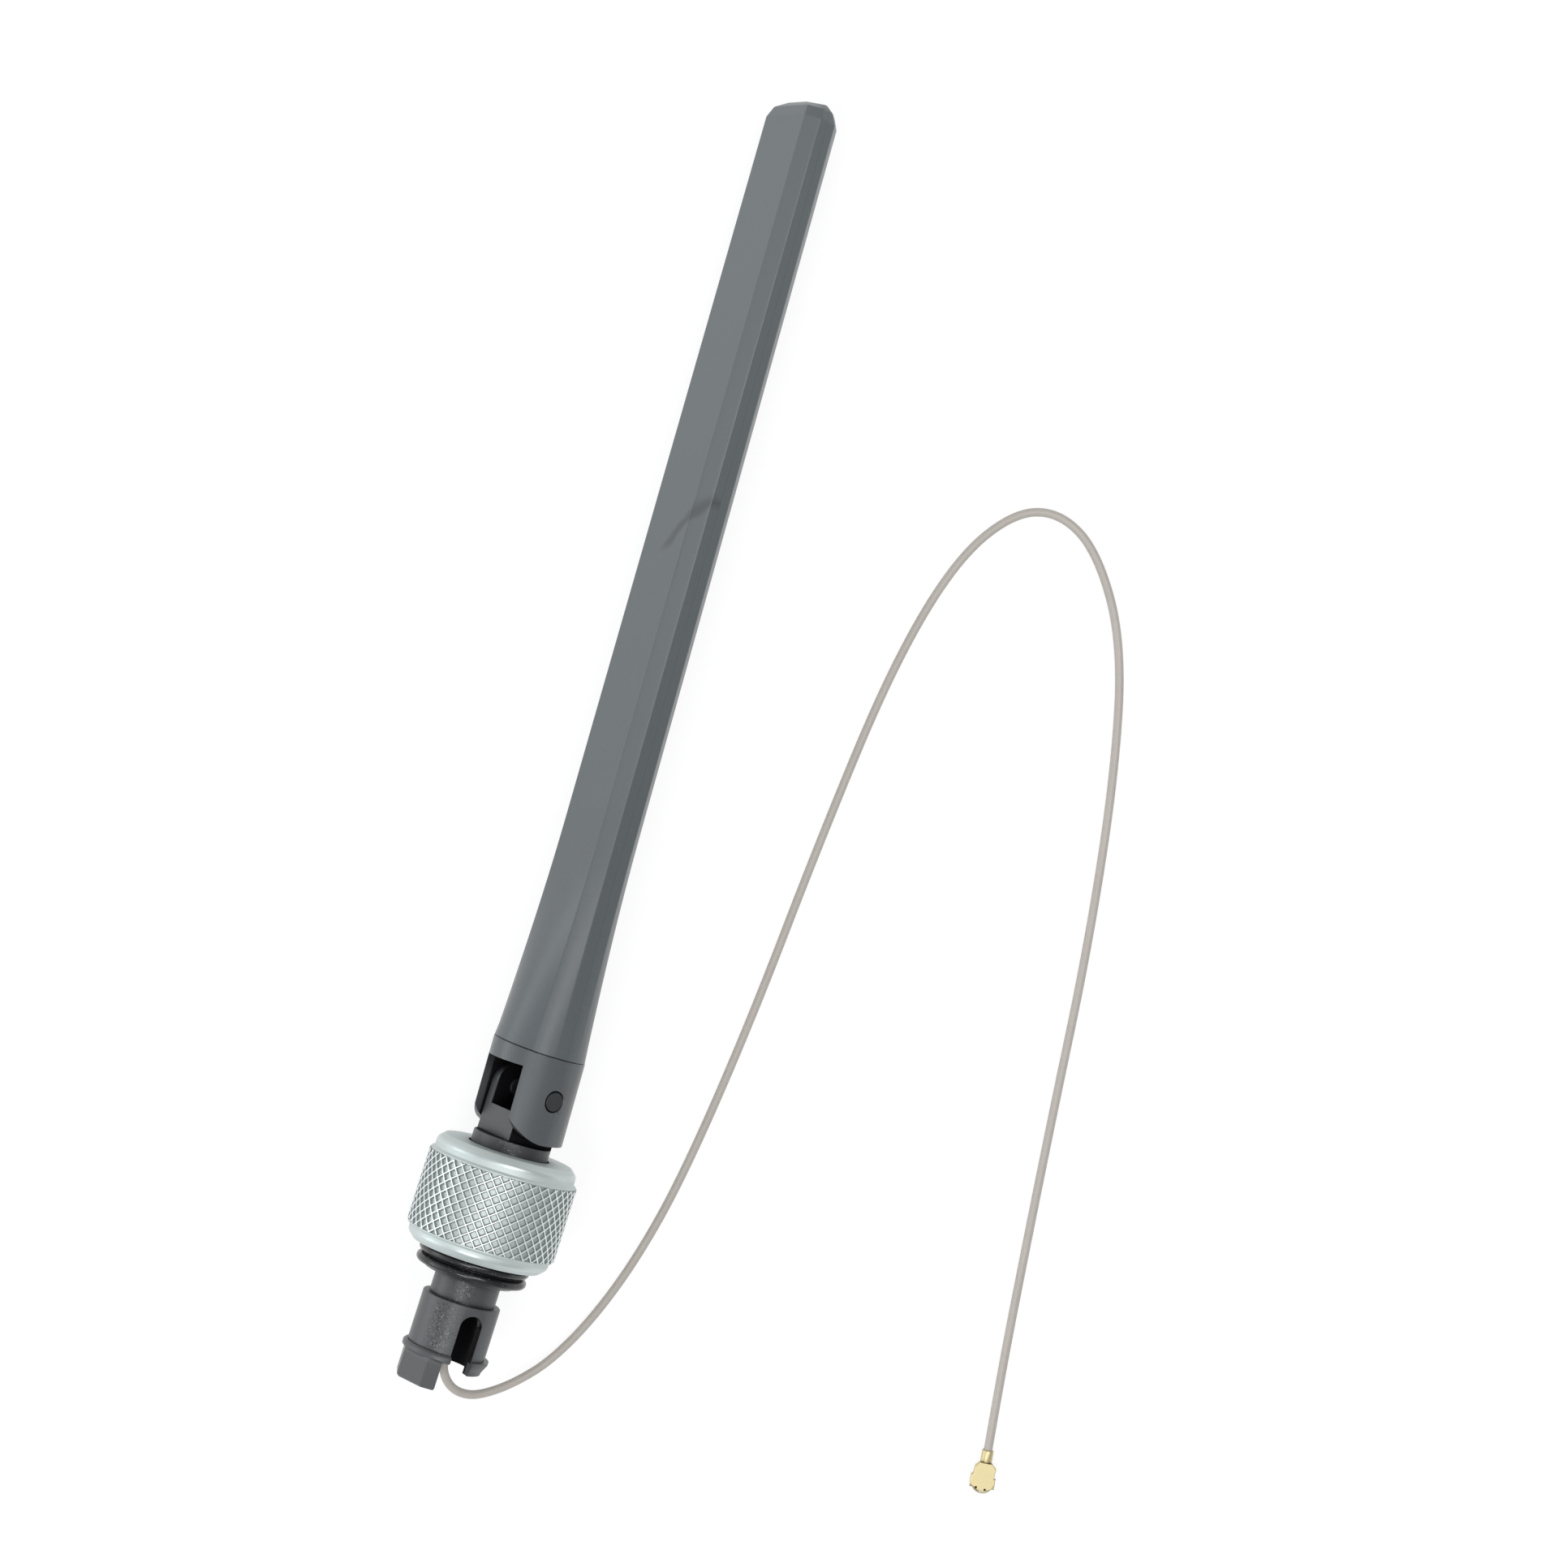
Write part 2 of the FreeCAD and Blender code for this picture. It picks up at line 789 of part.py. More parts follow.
def solder_block(station, wire_length, wire_r):
    """Solder that wets the copper on both sides of a wire and closes over it."""
    length = wire_length * solder_share
    face = copper_top()
    half = wire_r + solder_height
    over = coax_offset + wire_r + solder_height / 2
    outline = [
        Vector(-half, face, 0),
        Vector(half, face, 0),
        Vector(wire_r, over, 0),
        Vector(-wire_r, over, 0),
    ]
    body = flat_face(outline).extrude(Vector(0, 0, length))
    body.translate(Vector(0, 0, station - length / 2))
    return body.cut(rod_of(wire_r, station - length, station + length, 0, coax_offset))


def board_pad():
    """The foam pad that holds the board's far end against the rod's wall."""
    face = copper_top() - copper_thick
    top = board_end_station() - pad_length / 2
    low = top - pad_length
    blend_end = parting_station + blend_length
    share = (top - blend_end) / (hollow_end_station() - blend_end)
    inner = (thick_at_blend + (thick_at_tip - thick_at_blend) * share) / 2 - rod_wall
    return block((-pad_half_width, face, low), (pad_half_width, inner, top))


# Free lead


def rounded_path(points):
    """Straight runs joined by tangent arcs, and the arcs' radii."""
    runs = [(b - a).Length for a, b in zip(points, points[1:])]
    edges = []
    radii = []
    last = points[0]
    for n in range(1, len(points) - 1):
        back = (points[n - 1] - points[n]).normalize()
        ahead = (points[n + 1] - points[n]).normalize()
        turn = math.pi - back.getAngle(ahead)
        cut = 0.45 * min(runs[n - 1], runs[n])
        radius = cut / math.tan(turn / 2)
        radii.append(radius)
        start = points[n] + back * cut
        end = points[n] + ahead * cut
        inward = (back + ahead).normalize()
        middle = points[n] + inward * (radius / math.cos(turn / 2) - radius)
        edges.append(Part.LineSegment(last, start).toShape())
        edges.append(Part.Arc(start, middle, end).toShape())
        last = end
    edges.append(Part.LineSegment(last, points[-1]).toShape())
    return Part.Wire(edges), radii


def lead_tube(start, leaving):
    """The free lead, from the grommet's face to the plug."""
    points = [start, start + leaving * lead_start_run]
    points += [Vector(*p) for p in lead_points]
    wire, radii = rounded_path(points)
    profile = Part.Wire([Part.makeCircle(coax_r, points[0], leaving)])
    tube = wire.makePipeShell([profile], True, False)
    ideal = math.pi * coax_r**2 * wire.Length
    print("lead length", round(wire.Length, 2), "volume share", round(tube.Volume / ideal, 4))
    print("lead radii", [round(r, 1) for r in radii])
    return tube


# Plug, in its own frame: +X along the lead towards its front, Z = 0 on the surface


def plug_shell():
    """The plug's stamped shell: crimp barrel, folded cover with wings, and snap ring."""
    axis = lead_points[-1][2]
    half = plug_body_half
    start = plug_barrel_length
    end = start + plug_body_length
    wire_room = 2 * conductor_r
    contact_end = plug_ring_centre
    tail_top = plug_ring_top + 2 * plug_sheet
    barrel = Part.makeCylinder(
        plug_barrel_r, start + plug_sheet, Vector(0, 0, axis), Vector(1, 0, 0)
    )
    cover = plug_cover(half, start, end, plug_skirt_bottom, plug_top)
    inner = plug_cover(
        half - plug_sheet, start + plug_sheet, end - plug_sheet, -1, plug_top - plug_sheet
    )
    wing_low = start + plug_wing_start
    wings = block(
        (wing_low, -plug_wing_half, plug_skirt_bottom),
        (wing_low + plug_wing_length, plug_wing_half, plug_skirt_bottom + 3 * plug_sheet),
    )
    wings = wings.cut(block((wing_low - 1, -half + plug_sheet, 0), (end, half - plug_sheet, 3)))
    ring = rod_of(plug_ring_outer_r, 0, plug_ring_top + plug_sheet, plug_ring_centre)
    bore = plug_ring_outer_r - plug_ring_wall
    ring = ring.cut(rod_of(bore, -1, plug_ring_top + 1, plug_ring_centre))
    slit = block((plug_ring_centre, -plug_sheet, -1), (end + 1, plug_sheet, plug_ring_top))
    ring = ring.cut(slit)
    web = block((start, -half, plug_ring_top), (end, half, plug_ring_top + plug_sheet))
    web = web.common(plug_cover(half, start, end, 0, plug_top))
    web = web.cut(rod_of(bore, 0, plug_top, plug_ring_centre))
    body = merged([cover.cut(inner), ring, web, barrel, wings])
    body = body.cut(stepped_lead(plug_lead_play))
    body = body.cut(block((start, -wire_room, plug_ring_top), (contact_end, wire_room, tail_top)))
    dimple = Part.makeCylinder(
        plug_dimple_r, 1, Vector(plug_ring_centre, 0, plug_top - plug_dimple_depth)
    )
    return body.cut(dimple)


def plug_cover(half, start, end, low, high):
    """The cover's outline, tapered at the barrel and round at the front, as a solid."""
    neck = half * 0.55
    bend = start + half * 0.55
    front = end - half * 0.62
    edges = [
        Part.makeLine(Vector(start, -neck, low), Vector(bend, -half, low)),
        Part.makeLine(Vector(bend, -half, low), Vector(front, -half, low)),
        Part.Arc(
            Vector(front, -half, low), Vector(end, 0, low), Vector(front, half, low)
        ).toShape(),
        Part.makeLine(Vector(front, half, low), Vector(bend, half, low)),
        Part.makeLine(Vector(bend, half, low), Vector(start, neck, low)),
        Part.makeLine(Vector(start, neck, low), Vector(start, -neck, low)),
    ]
    return Part.Face(Part.Wire(edges)).extrude(Vector(0, 0, high - low))


def plug_insulator():
    """The moulded insulator inside the shell, which holds the centre contact."""
    bore = plug_ring_outer_r - plug_ring_wall
    low = plug_ring_top + plug_sheet - plug_insulator_thick
    body = rod_of(bore, low, plug_ring_top + plug_sheet, plug_ring_centre)
    return body.cut(rod_of(plug_contact_r, low - 1, 2, plug_ring_centre))


def plug_contact():
    """The centre contact: a small sleeve with a tail that the inner conductor is crimped in."""
    top = plug_ring_top + plug_sheet
    sleeve = rod_of(plug_contact_r, plug_contact_bottom, top, plug_ring_centre)
    sleeve = sleeve.cut(
        rod_of(plug_contact_bore_r, plug_contact_bottom - 1, top - plug_sheet, plug_ring_centre)
    )
    tail_start = plug_barrel_length + dielectric_length
    tail_end = plug_ring_centre + conductor_r
    tail = block((tail_start, -conductor_r, top), (tail_end, conductor_r, top + plug_sheet))
    return merged([sleeve, tail])


def stepped_lead(play):
    """The jacket in the barrel and the dielectric beyond it, grown all round by a play."""
    mouth = Vector(0, 0, lead_points[-1][2])
    inward = Vector(1, 0, 0)
    reach = plug_barrel_length + dielectric_length + play
    jacket = Part.makeCylinder(coax_r + play, plug_lead_depth + play, mouth, inward)
    return merged([jacket, Part.makeCylinder(dielectric_r + play, reach, mouth, inward)])


def plug_lead_end():
    """The lead's end in the plug: its jacket, then the dielectric up to the contact."""
    return stepped_lead(0.0)


# Placing


def foot_rotation(pitch):
    """Turns the foot's frame so that its axis points along +Y and dips by pitch."""
    tip_over = Rotation(Vector(1, 0, 0), -(90 + pitch))
    return tip_over.multiply(Rotation(Vector(0, 0, 1), 180 - lean))


def rod_rotation(pitch):
    """Turns the rod's frame, folded from the foot's by the rest fold."""
    return foot_rotation(pitch).multiply(Rotation(Vector(-1, 0, 0), rest_fold))


def pivot_height(pitch):
    """Height of the pivot when the nut's band touches the surface."""
    edge = nut_top_station - nut_band_start - nut_margin
    slope = math.radians(pitch)
    return knurl_ridge_r * math.cos(slope) + edge * math.sin(slope)


def tip_height(pitch):
    """Height of the rod's lowest corner when the nut touches the surface."""
    station = parting_station + rod_length - tip_bevel_length
    turn = rod_rotation(pitch)
    corners = [Vector(x, y, station) for x, y in octagon(wide_at_tip, thick_at_tip)]
    return pivot_height(pitch) + min(turn.multVec(c).z for c in corners)


def rest_pitch():
    """The dip at which both the nut and the rod's tip touch the surface."""
    low, high = -10.0, 20.0
    for _ in range(50):
        middle = (low + high) / 2
        if tip_height(middle) > 0:
            low = middle
        else:
            high = middle
    return (low + high) / 2


def build():
    """Every sub-part in its place, the lead and plug last."""
    pitch = rest_pitch()
    pivot = Vector(0, 0, pivot_height(pitch))
    foot_place = Placement(pivot, foot_rotation(pitch))
    rod_place = Placement(pivot, rod_rotation(pitch))
    braid, dielectric, conductor = stripped_end()
    shield_joint, feed_joint = solder_pair()
    foot_nodes = {
        "mount_body": mount_body(),
        "o_ring_upper": o_ring(ring_upper_station),
        "o_ring_lower": o_ring(ring_lower_station),
        "slip_washer": slip_washer(),
        "knurled_nut": knurled_nut(),
        "cable_grommet": cable_grommet(),
        "coax_base_run": coax_base_run(),
    }
    rod_nodes = {
        "radome_shell": radome_shell(),
        "hinge_knuckle": hinge_knuckle(),
        "hinge_pin_front": hinge_pin(-1),
        "hinge_pin_rear": hinge_pin(1),
        "coax_rod_run": coax_rod_run(),
        "coax_braid_end": braid,
        "coax_dielectric_end": dielectric,
        "coax_conductor_end": conductor,
        "antenna_board": antenna_board(),
        "radiator_lower": radiator_lower(),
        "radiator_upper": radiator_upper(),
        "shield_solder": shield_joint,
        "feed_solder": feed_joint,
        "board_pad": board_pad(),
    }
    nodes = {}
    for name, shape in foot_nodes.items():
        nodes[name] = placed(shape, foot_place)
    for name, shape in rod_nodes.items():
        nodes[name] = placed(shape, rod_place)
    whole = Part.makeCompound(list(nodes.values())).optimalBoundingBox(False)
    shift = Vector(-(whole.XMin + whole.XMax) / 2, -(whole.YMin + whole.YMax) / 2, -whole.ZMin)
    for shape in nodes.values():
        shape.translate(shift)
    low = bore_depth_station - grommet_length
    start = foot_place.multVec(Vector(0, coax_offset, low)) + shift
    leaving = foot_place.Rotation.multVec(Vector(0, 0, -1))
    nodes["coax_cable"] = lead_tube(start, leaving)
    end = Vector(*lead_points[-1])
    before = Vector(*lead_points[-2])
    heading = math.degrees(math.atan2(end.y - before.y, end.x - before.x))
    inward = Rotation(Vector(0, 0, 1), heading)
    plug_place = Placement(Vector(end.x, end.y, 0), inward)
    plug_nodes = {
        "plug_shell": plug_shell(),
        "plug_insulator": plug_insulator(),
        "plug_contact": plug_contact(),
        "plug_lead_end": plug_lead_end(),
    }
    for name, shape in plug_nodes.items():
        nodes[name] = placed(shape, plug_place)
    print("pitch", round(pitch, 4), "pivot", [round(v, 4) for v in pivot + shift])
    return nodes


def placed(shape, place):
    """A copy of a shape, moved to its place."""
    moved = shape.copy()
    moved.transformShape(place.toMatrix())
    return moved


os.makedirs("parts", exist_ok=True)
for node, solid in build().items():
    if not solid.isValid() or len(solid.Solids) < 1:
        print("check", node, solid.isValid(), len(solid.Solids))
    solid.exportStep(f"parts/{node}.step")
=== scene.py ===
import itertools
import json
import math

import bmesh
import bpy
from mathutils import Matrix, Vector


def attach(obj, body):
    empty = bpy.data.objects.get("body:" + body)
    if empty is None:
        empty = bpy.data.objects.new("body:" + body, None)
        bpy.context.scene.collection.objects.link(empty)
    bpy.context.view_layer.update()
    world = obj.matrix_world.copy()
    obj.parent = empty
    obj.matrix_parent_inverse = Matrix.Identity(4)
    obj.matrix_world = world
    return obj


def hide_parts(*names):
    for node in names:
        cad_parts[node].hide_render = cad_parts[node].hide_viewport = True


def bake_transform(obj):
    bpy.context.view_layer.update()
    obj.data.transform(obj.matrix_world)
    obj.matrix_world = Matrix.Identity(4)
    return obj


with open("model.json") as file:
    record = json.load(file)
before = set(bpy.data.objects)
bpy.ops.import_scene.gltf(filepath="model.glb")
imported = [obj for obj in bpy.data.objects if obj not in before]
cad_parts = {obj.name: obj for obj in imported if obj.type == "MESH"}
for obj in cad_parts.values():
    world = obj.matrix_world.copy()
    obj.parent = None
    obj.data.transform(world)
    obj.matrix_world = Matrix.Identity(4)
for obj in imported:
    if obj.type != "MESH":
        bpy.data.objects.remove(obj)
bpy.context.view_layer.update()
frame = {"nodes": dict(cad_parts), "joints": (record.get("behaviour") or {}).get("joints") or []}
cad = frame["nodes"]
joints = {joint["name"]: joint for joint in frame["joints"]}

# The antenna lies on a sheet of white paper and is seen from straight above. The paper is
# white to the camera and in reflections, and keeps a faint soft shadow.
CAMERA_PLACE = (0.01942, 0.00062, 0.346)
CAMERA_TURN = math.radians(17.41)
CAMERA_LENS = 60.56
CAMERA_SENSOR = 36.0
camera_data = bpy.data.cameras.new("overhead_camera")
camera_data.lens = CAMERA_LENS
camera_data.sensor_width = CAMERA_SENSOR
camera = bpy.data.objects.new("overhead_camera", camera_data)
camera.location = CAMERA_PLACE
camera.rotation_euler = (0.0, 0.0, CAMERA_TURN)
bpy.context.scene.collection.objects.link(camera)
bpy.context.scene.camera = camera
bpy.context.scene.view_settings.view_transform = "Standard"


def shader(tree, kind, operation=None, **inputs):
    """A shader node with its inputs set; an input that is a socket is linked instead."""
    node = tree.nodes.new(kind)
    if operation:
        node.operation = operation
    for name, value in inputs.items():
        key = int(name[1:]) if name[0] == "i" and name[1:].isdigit() else name.replace("_", " ")
        if isinstance(value, bpy.types.NodeSocket):
            tree.links.new(value, node.inputs[key])
        else:
            node.inputs[key].default_value = value
    return node


def maths(tree, operation, *values):
    """The output of a math node that works on numbers or sockets."""
    inputs = {f"i{place}": value for place, value in enumerate(values)}
    return shader(tree, "ShaderNodeMath", operation, **inputs).outputs[0]


def empty_material(name):
    """A new material's tree with only its output node."""
    material = bpy.data.materials.new(name)
    material.use_nodes = True
    material.node_tree.nodes.clear()
    output = material.node_tree.nodes.new("ShaderNodeOutputMaterial")
    return material, material.node_tree, output


PAPER_WHITE = (0.95, 0.95, 0.95, 1.0)
PAPER_GLOW = 1.04
PAPER_GLOW_SHARE = 0.82
PAPER_HALF = 1.5

paper, tree, output = empty_material("white_paper")
rays = tree.nodes.new("ShaderNodeLightPath")
mirrored = maths(tree, "MAXIMUM", rays.outputs["Is Glossy Ray"], rays.outputs["Is Transmission Ray"])
seen = maths(tree, "MAXIMUM", rays.outputs["Is Camera Ray"], mirrored)
share = maths(tree, "MULTIPLY", seen, PAPER_GLOW_SHARE)
matt = shader(tree, "ShaderNodeBsdfDiffuse", Color=PAPER_WHITE)
glow = shader(tree, "ShaderNodeEmission", Strength=PAPER_GLOW)
mixed = shader(tree, "ShaderNodeMixShader", i0=share, i1=matt.outputs[0], i2=glow.outputs[0])
tree.links.new(mixed.outputs[0], output.inputs["Surface"])

paper_shape = bmesh.new()
bmesh.ops.create_grid(paper_shape, x_segments=1, y_segments=1, size=PAPER_HALF)
paper_mesh = bpy.data.meshes.new("white_paper")
paper_shape.to_mesh(paper_mesh)
paper_shape.free()
floor = bpy.data.objects.new("white_paper", paper_mesh)
floor.data.materials.append(paper)
bpy.context.scene.collection.objects.link(floor)

# The studio: a pale room, lit by low windows along its left side and dim towards the right
# and the back, with two softboxes overhead, one each side of the antenna.
ROOM_LEVEL = 0.60
ROOM_TINT = (0.97, 1.0, 1.02)
SEEN_ROOM = (1.0, 1.0, 1.0)
WINDOW_SIDE = Vector((-0.98, -0.12, 0.02)).normalized()
WINDOW_LEVEL = 2.5
WINDOW_FOCUS = 9.0
DIM_SIDE = Vector((0.80, 0.55, 0.28)).normalized()
DIM_SHARE = 0.5
DIM_FOCUS = 3.0
world = bpy.data.worlds.new("studio")
world.use_nodes = True
tree = world.node_tree
background = tree.nodes["Background"]
rays = tree.nodes.new("ShaderNodeLightPath")
direction = tree.nodes.new("ShaderNodeTexCoord").outputs["Generated"]


def lobe(side, focus, level):
    """A soft patch of the room around one direction."""
    facing = shader(tree, "ShaderNodeVectorMath", "DOT_PRODUCT", i0=direction, i1=side)
    away = maths(tree, "SUBTRACT", facing.outputs["Value"], 1.0)
    scaled = maths(tree, "MULTIPLY", away, focus)
    soft = maths(tree, "EXPONENT", scaled)
    return maths(tree, "MULTIPLY", soft, level)


def mixed_colour(tree, share, first, second):
    """A colour that goes from one to another with a share."""
    mix = tree.nodes.new("ShaderNodeMix")
    mix.data_type = "RGBA"
    tree.links.new(share, mix.inputs["Factor"])
    for socket, colour in ((mix.inputs[6], first), (mix.inputs[7], second)):
        if isinstance(colour, bpy.types.NodeSocket):
            tree.links.new(colour, socket)
        else:
            socket.default_value = (*colour, 1.0)
    return mix.outputs[2]


dimmed = maths(tree, "SUBTRACT", 1.0, lobe(DIM_SIDE, DIM_FOCUS, DIM_SHARE))
walls = maths(tree, "MULTIPLY", dimmed, ROOM_LEVEL)
lit = maths(tree, "ADD", walls, lobe(WINDOW_SIDE, WINDOW_FOCUS, WINDOW_LEVEL))
room = shader(tree, "ShaderNodeVectorMath", "SCALE", i0=ROOM_TINT, Scale=lit)
seen_room = mixed_colour(tree, rays.outputs["Is Camera Ray"], room.outputs[0], SEEN_ROOM)
tree.links.new(seen_room, background.inputs["Color"])
bpy.context.scene.world = world


def soft_light(name, place, wide, deep, watts):
    """A rectangular soft light, aimed at the middle of the antenna."""
    data = bpy.data.lights.new(name, "AREA")
    data.shape = "RECTANGLE"
    data.size = wide
    data.size_y = deep
    data.energy = watts
    lamp = bpy.data.objects.new(name, data)
    lamp.location = place
    lamp.rotation_euler = (-Vector(place)).to_track_quat("-Z", "Y").to_euler()
    bpy.context.scene.collection.objects.link(lamp)


soft_light("overhead_softbox", (0.19, 0.14, 0.60), wide=0.22, deep=0.40, watts=1.4)
soft_light("second_softbox", (-0.08, -0.24, 0.58), wide=0.22, deep=0.20, watts=0.95)

# Base moulding: tongue, collar, neck, seal flange, slotted sleeve, key block and barb in one
# piece of dark matt plastic, moulded, with softened edges, specks of dust and painted glints,
# and painted shade in its crevices, hollows and shaded stretches. The sleeve snaps into the
# device's socket.
MM = 0.001
pivot = Vector(joints["antenna_fold"]["pos_m"])
foot_x = -Vector(joints["antenna_fold"]["axis"]).normalized()
foot_z = -Vector(joints["nut_slide"]["axis"]).normalized()
foot_y = foot_z.cross(foot_x)
foot_place = Matrix.Translation(pivot) @ Matrix((foot_x, foot_y, foot_z)).transposed().to_4x4()
foot_place_mm = foot_place @ Matrix.Scale(MM, 4)


def group_socket(group, name, kind, out=False, value=None):
    """A named input or output of a shader node group."""
    socket = group.interface.new_socket(name=name, in_out="OUTPUT" if out else "INPUT", socket_type=kind)
    if value is not None:
        socket.default_value = value


def moulded_skin_group():
    """Moulded plastic: a tone that drifts over the piece, fine grain, and uneven sheen."""
    group = bpy.data.node_groups.new("moulded_skin", "ShaderNodeTree")
    group_socket(group, "Colour", "NodeSocketColor")
    group_socket(group, "Grain Scale", "NodeSocketFloat", value=6500.0)
    group_socket(group, "Drift", "NodeSocketFloat", value=0.12)
    group_socket(group, "Sheen Roughness", "NodeSocketFloat", value=0.45)
    group_socket(group, "Colour", "NodeSocketColor", out=True)
    group_socket(group, "Roughness", "NodeSocketFloat", out=True)
    group_socket(group, "Height", "NodeSocketFloat", out=True)
    entry = group.nodes.new("NodeGroupInput")
    leave = group.nodes.new("NodeGroupOutput")
    place = group.nodes.new("ShaderNodeTexCoord").outputs["Object"]
    grain = shader(group, "ShaderNodeTexNoise", Vector=place, Scale=entry.outputs["Grain Scale"], Detail=3.0)
    drift = shader(group, "ShaderNodeTexNoise", Vector=place, Scale=170.0, Detail=2.0)
    fine = shader(group, "ShaderNodeTexNoise", Vector=place, Scale=1800.0, Detail=2.0)
    both = maths(group, "ADD", drift.outputs["Fac"], fine.outputs["Fac"])
    centred = maths(group, "SUBTRACT", both, 1.0)
    amount = maths(group, "MULTIPLY", centred, entry.outputs["Drift"])
    level = maths(group, "ADD", amount, 1.0)
    tint = shader(group, "ShaderNodeVectorMath", "SCALE", i0=entry.outputs["Colour"], Scale=level)
    sheen = maths(group, "MULTIPLY_ADD", grain.outputs["Fac"], 0.16, -0.08)
    rough = maths(group, "ADD", sheen, entry.outputs["Sheen Roughness"])
    group.links.new(tint.outputs["Vector"], leave.inputs["Colour"])
    group.links.new(rough, leave.inputs["Roughness"])
    group.links.new(grain.outputs["Fac"], leave.inputs["Height"])
    return group


def crevice_shade_group():
    """Painted shade in crevices: a colour, darkened where the surface is closed in."""
    group = bpy.data.node_groups.new("crevice_shade", "ShaderNodeTree")
    group_socket(group, "Colour", "NodeSocketColor")
    group_socket(group, "Reach", "NodeSocketFloat", value=0.0045)
    group_socket(group, "Closed", "NodeSocketFloat", value=0.22)
    group_socket(group, "Open", "NodeSocketFloat", value=0.72)
    group_socket(group, "Darkest", "NodeSocketFloat", value=0.2)
    group_socket(group, "Colour", "NodeSocketColor", out=True)
    entry = group.nodes.new("NodeGroupInput")
    leave = group.nodes.new("NodeGroupOutput")
    closed_in = shader(group, "ShaderNodeAmbientOcclusion", Distance=entry.outputs["Reach"])
    closed_in.samples = 6
    share = shader(
        group,
        "ShaderNodeMapRange",
        Value=closed_in.outputs["AO"],
        From_Min=entry.outputs["Closed"],
        From_Max=entry.outputs["Open"],
        To_Min=entry.outputs["Darkest"],
    )
    tint = shader(
        group, "ShaderNodeVectorMath", "SCALE", i0=entry.outputs["Colour"], Scale=share.outputs["Result"]
    )
    group.links.new(tint.outputs["Vector"], leave.inputs["Colour"])
    return group


moulded_skin = moulded_skin_group()
crevice_shade = crevice_shade_group()


def shaded_crevices(tree, colour_socket, reach, closed, opened, darkest):
    """A colour passed through the crevice shade."""
    shade = tree.nodes.new("ShaderNodeGroup")
    shade.node_tree = crevice_shade
    shade.inputs["Reach"].default_value = reach
    shade.inputs["Closed"].default_value = closed
    shade.inputs["Open"].default_value = opened
    shade.inputs["Darkest"].default_value = darkest
    tree.links.new(colour_socket, shade.inputs["Colour"])
    return shade.outputs["Colour"]


def plastic(name, colour, roughness, drift=0.12, grain_depth=6.0e-6, grain_scale=6500.0, shade_in_crevices=0.0):
    """Moulded plastic of one colour, with painted shade in its crevices. Returns the material,
    its tree, skin node and shader."""
    material, tree, output = empty_material(name)
    skin = tree.nodes.new("ShaderNodeGroup")
    skin.node_tree = moulded_skin
    skin.inputs["Colour"].default_value = (*colour, 1.0)
    skin.inputs["Grain Scale"].default_value = grain_scale
    skin.inputs["Drift"].default_value = drift
    skin.inputs["Sheen Roughness"].default_value = roughness
    bump = shader(
        tree, "ShaderNodeBump", Strength=0.6, Distance=grain_depth, Height=skin.outputs["Height"]
    )
    body = shader(
        tree,
        "ShaderNodeBsdfPrincipled",
        Base_Color=skin.outputs["Colour"],
        Roughness=skin.outputs["Roughness"],
        Normal=bump.outputs["Normal"],
    )
    # Painted shade: the colour darkens where the surface is closed in.
    if shade_in_crevices:
        shade = shaded_crevices(
            tree, skin.outputs["Colour"], reach=0.0045, closed=0.30, opened=0.75, darkest=1.0 - shade_in_crevices
        )
        tree.links.new(shade, body.inputs["Base Color"])
    tree.links.new(body.outputs[0], output.inputs["Surface"])
    return material, tree, skin, body


def speckled(tree, colour_socket, centre, reach, scale):
    """A colour with pale and dark specks over it, thinning out from a centre."""
    place = tree.nodes.new("ShaderNodeTexCoord").outputs["Object"]
    offset = shader(tree, "ShaderNodeVectorMath", "DISTANCE", i0=place, i1=centre)
    near = shader(
        tree, "ShaderNodeMapRange", Value=offset.outputs["Value"], From_Min=reach, From_Max=reach * 0.5
    )
    cells = shader(tree, "ShaderNodeTexNoise", Vector=place, Scale=scale, Detail=2.0)
    for low, high, speck in SPECK_KINDS:
        share = shader(
            tree, "ShaderNodeMapRange", Value=cells.outputs["Fac"], From_Min=low, From_Max=high
        )
        here = maths(tree, "MULTIPLY", share.outputs[0], near.outputs[0])
        colour_socket = mixed_colour(tree, here, colour_socket, speck)
    return colour_socket


def in_frame(tree, frame_place):
    """Object coordinates, turned into the frame of a piece."""
    local = tree.nodes.new("ShaderNodeMapping")
    local.vector_type = "TEXTURE"
    local.inputs["Location"].default_value = frame_place.to_translation()
    local.inputs["Rotation"].default_value = frame_place.to_euler()
    place = tree.nodes.new("ShaderNodeTexCoord").outputs["Object"]
    tree.links.new(place, local.inputs["Vector"])
    return local.outputs["Vector"]


def off_axis(tree, spot, kept):
    """Distance from an axis: the length of the kept parts of a place."""
    flat = shader(tree, "ShaderNodeVectorMath", "MULTIPLY", i0=spot, i1=kept)
    return shader(tree, "ShaderNodeVectorMath", "LENGTH", i0=flat.outputs["Vector"]).outputs["Value"]


def between(tree, value, low, high):
    """One where a value lies between two limits, otherwise nothing."""
    above = maths(tree, "GREATER_THAN", value, low)
    below = maths(tree, "LESS_THAN", value, high)
    return maths(tree, "MULTIPLY", above, below)


def combined(tree, operation, values):
    """Several shares in one, by a maths operation."""
    total = values[0]
    for value in values[1:]:
        total = maths(tree, operation, total, value)
    return total


def inside(tree, values, limits):
    """One where each value lies between its own limits in millimetres, otherwise nothing."""
    shares = [between(tree, value, low * MM, high * MM) for value, (low, high) in zip(values, limits)]
    return combined(tree, "MULTIPLY", shares)


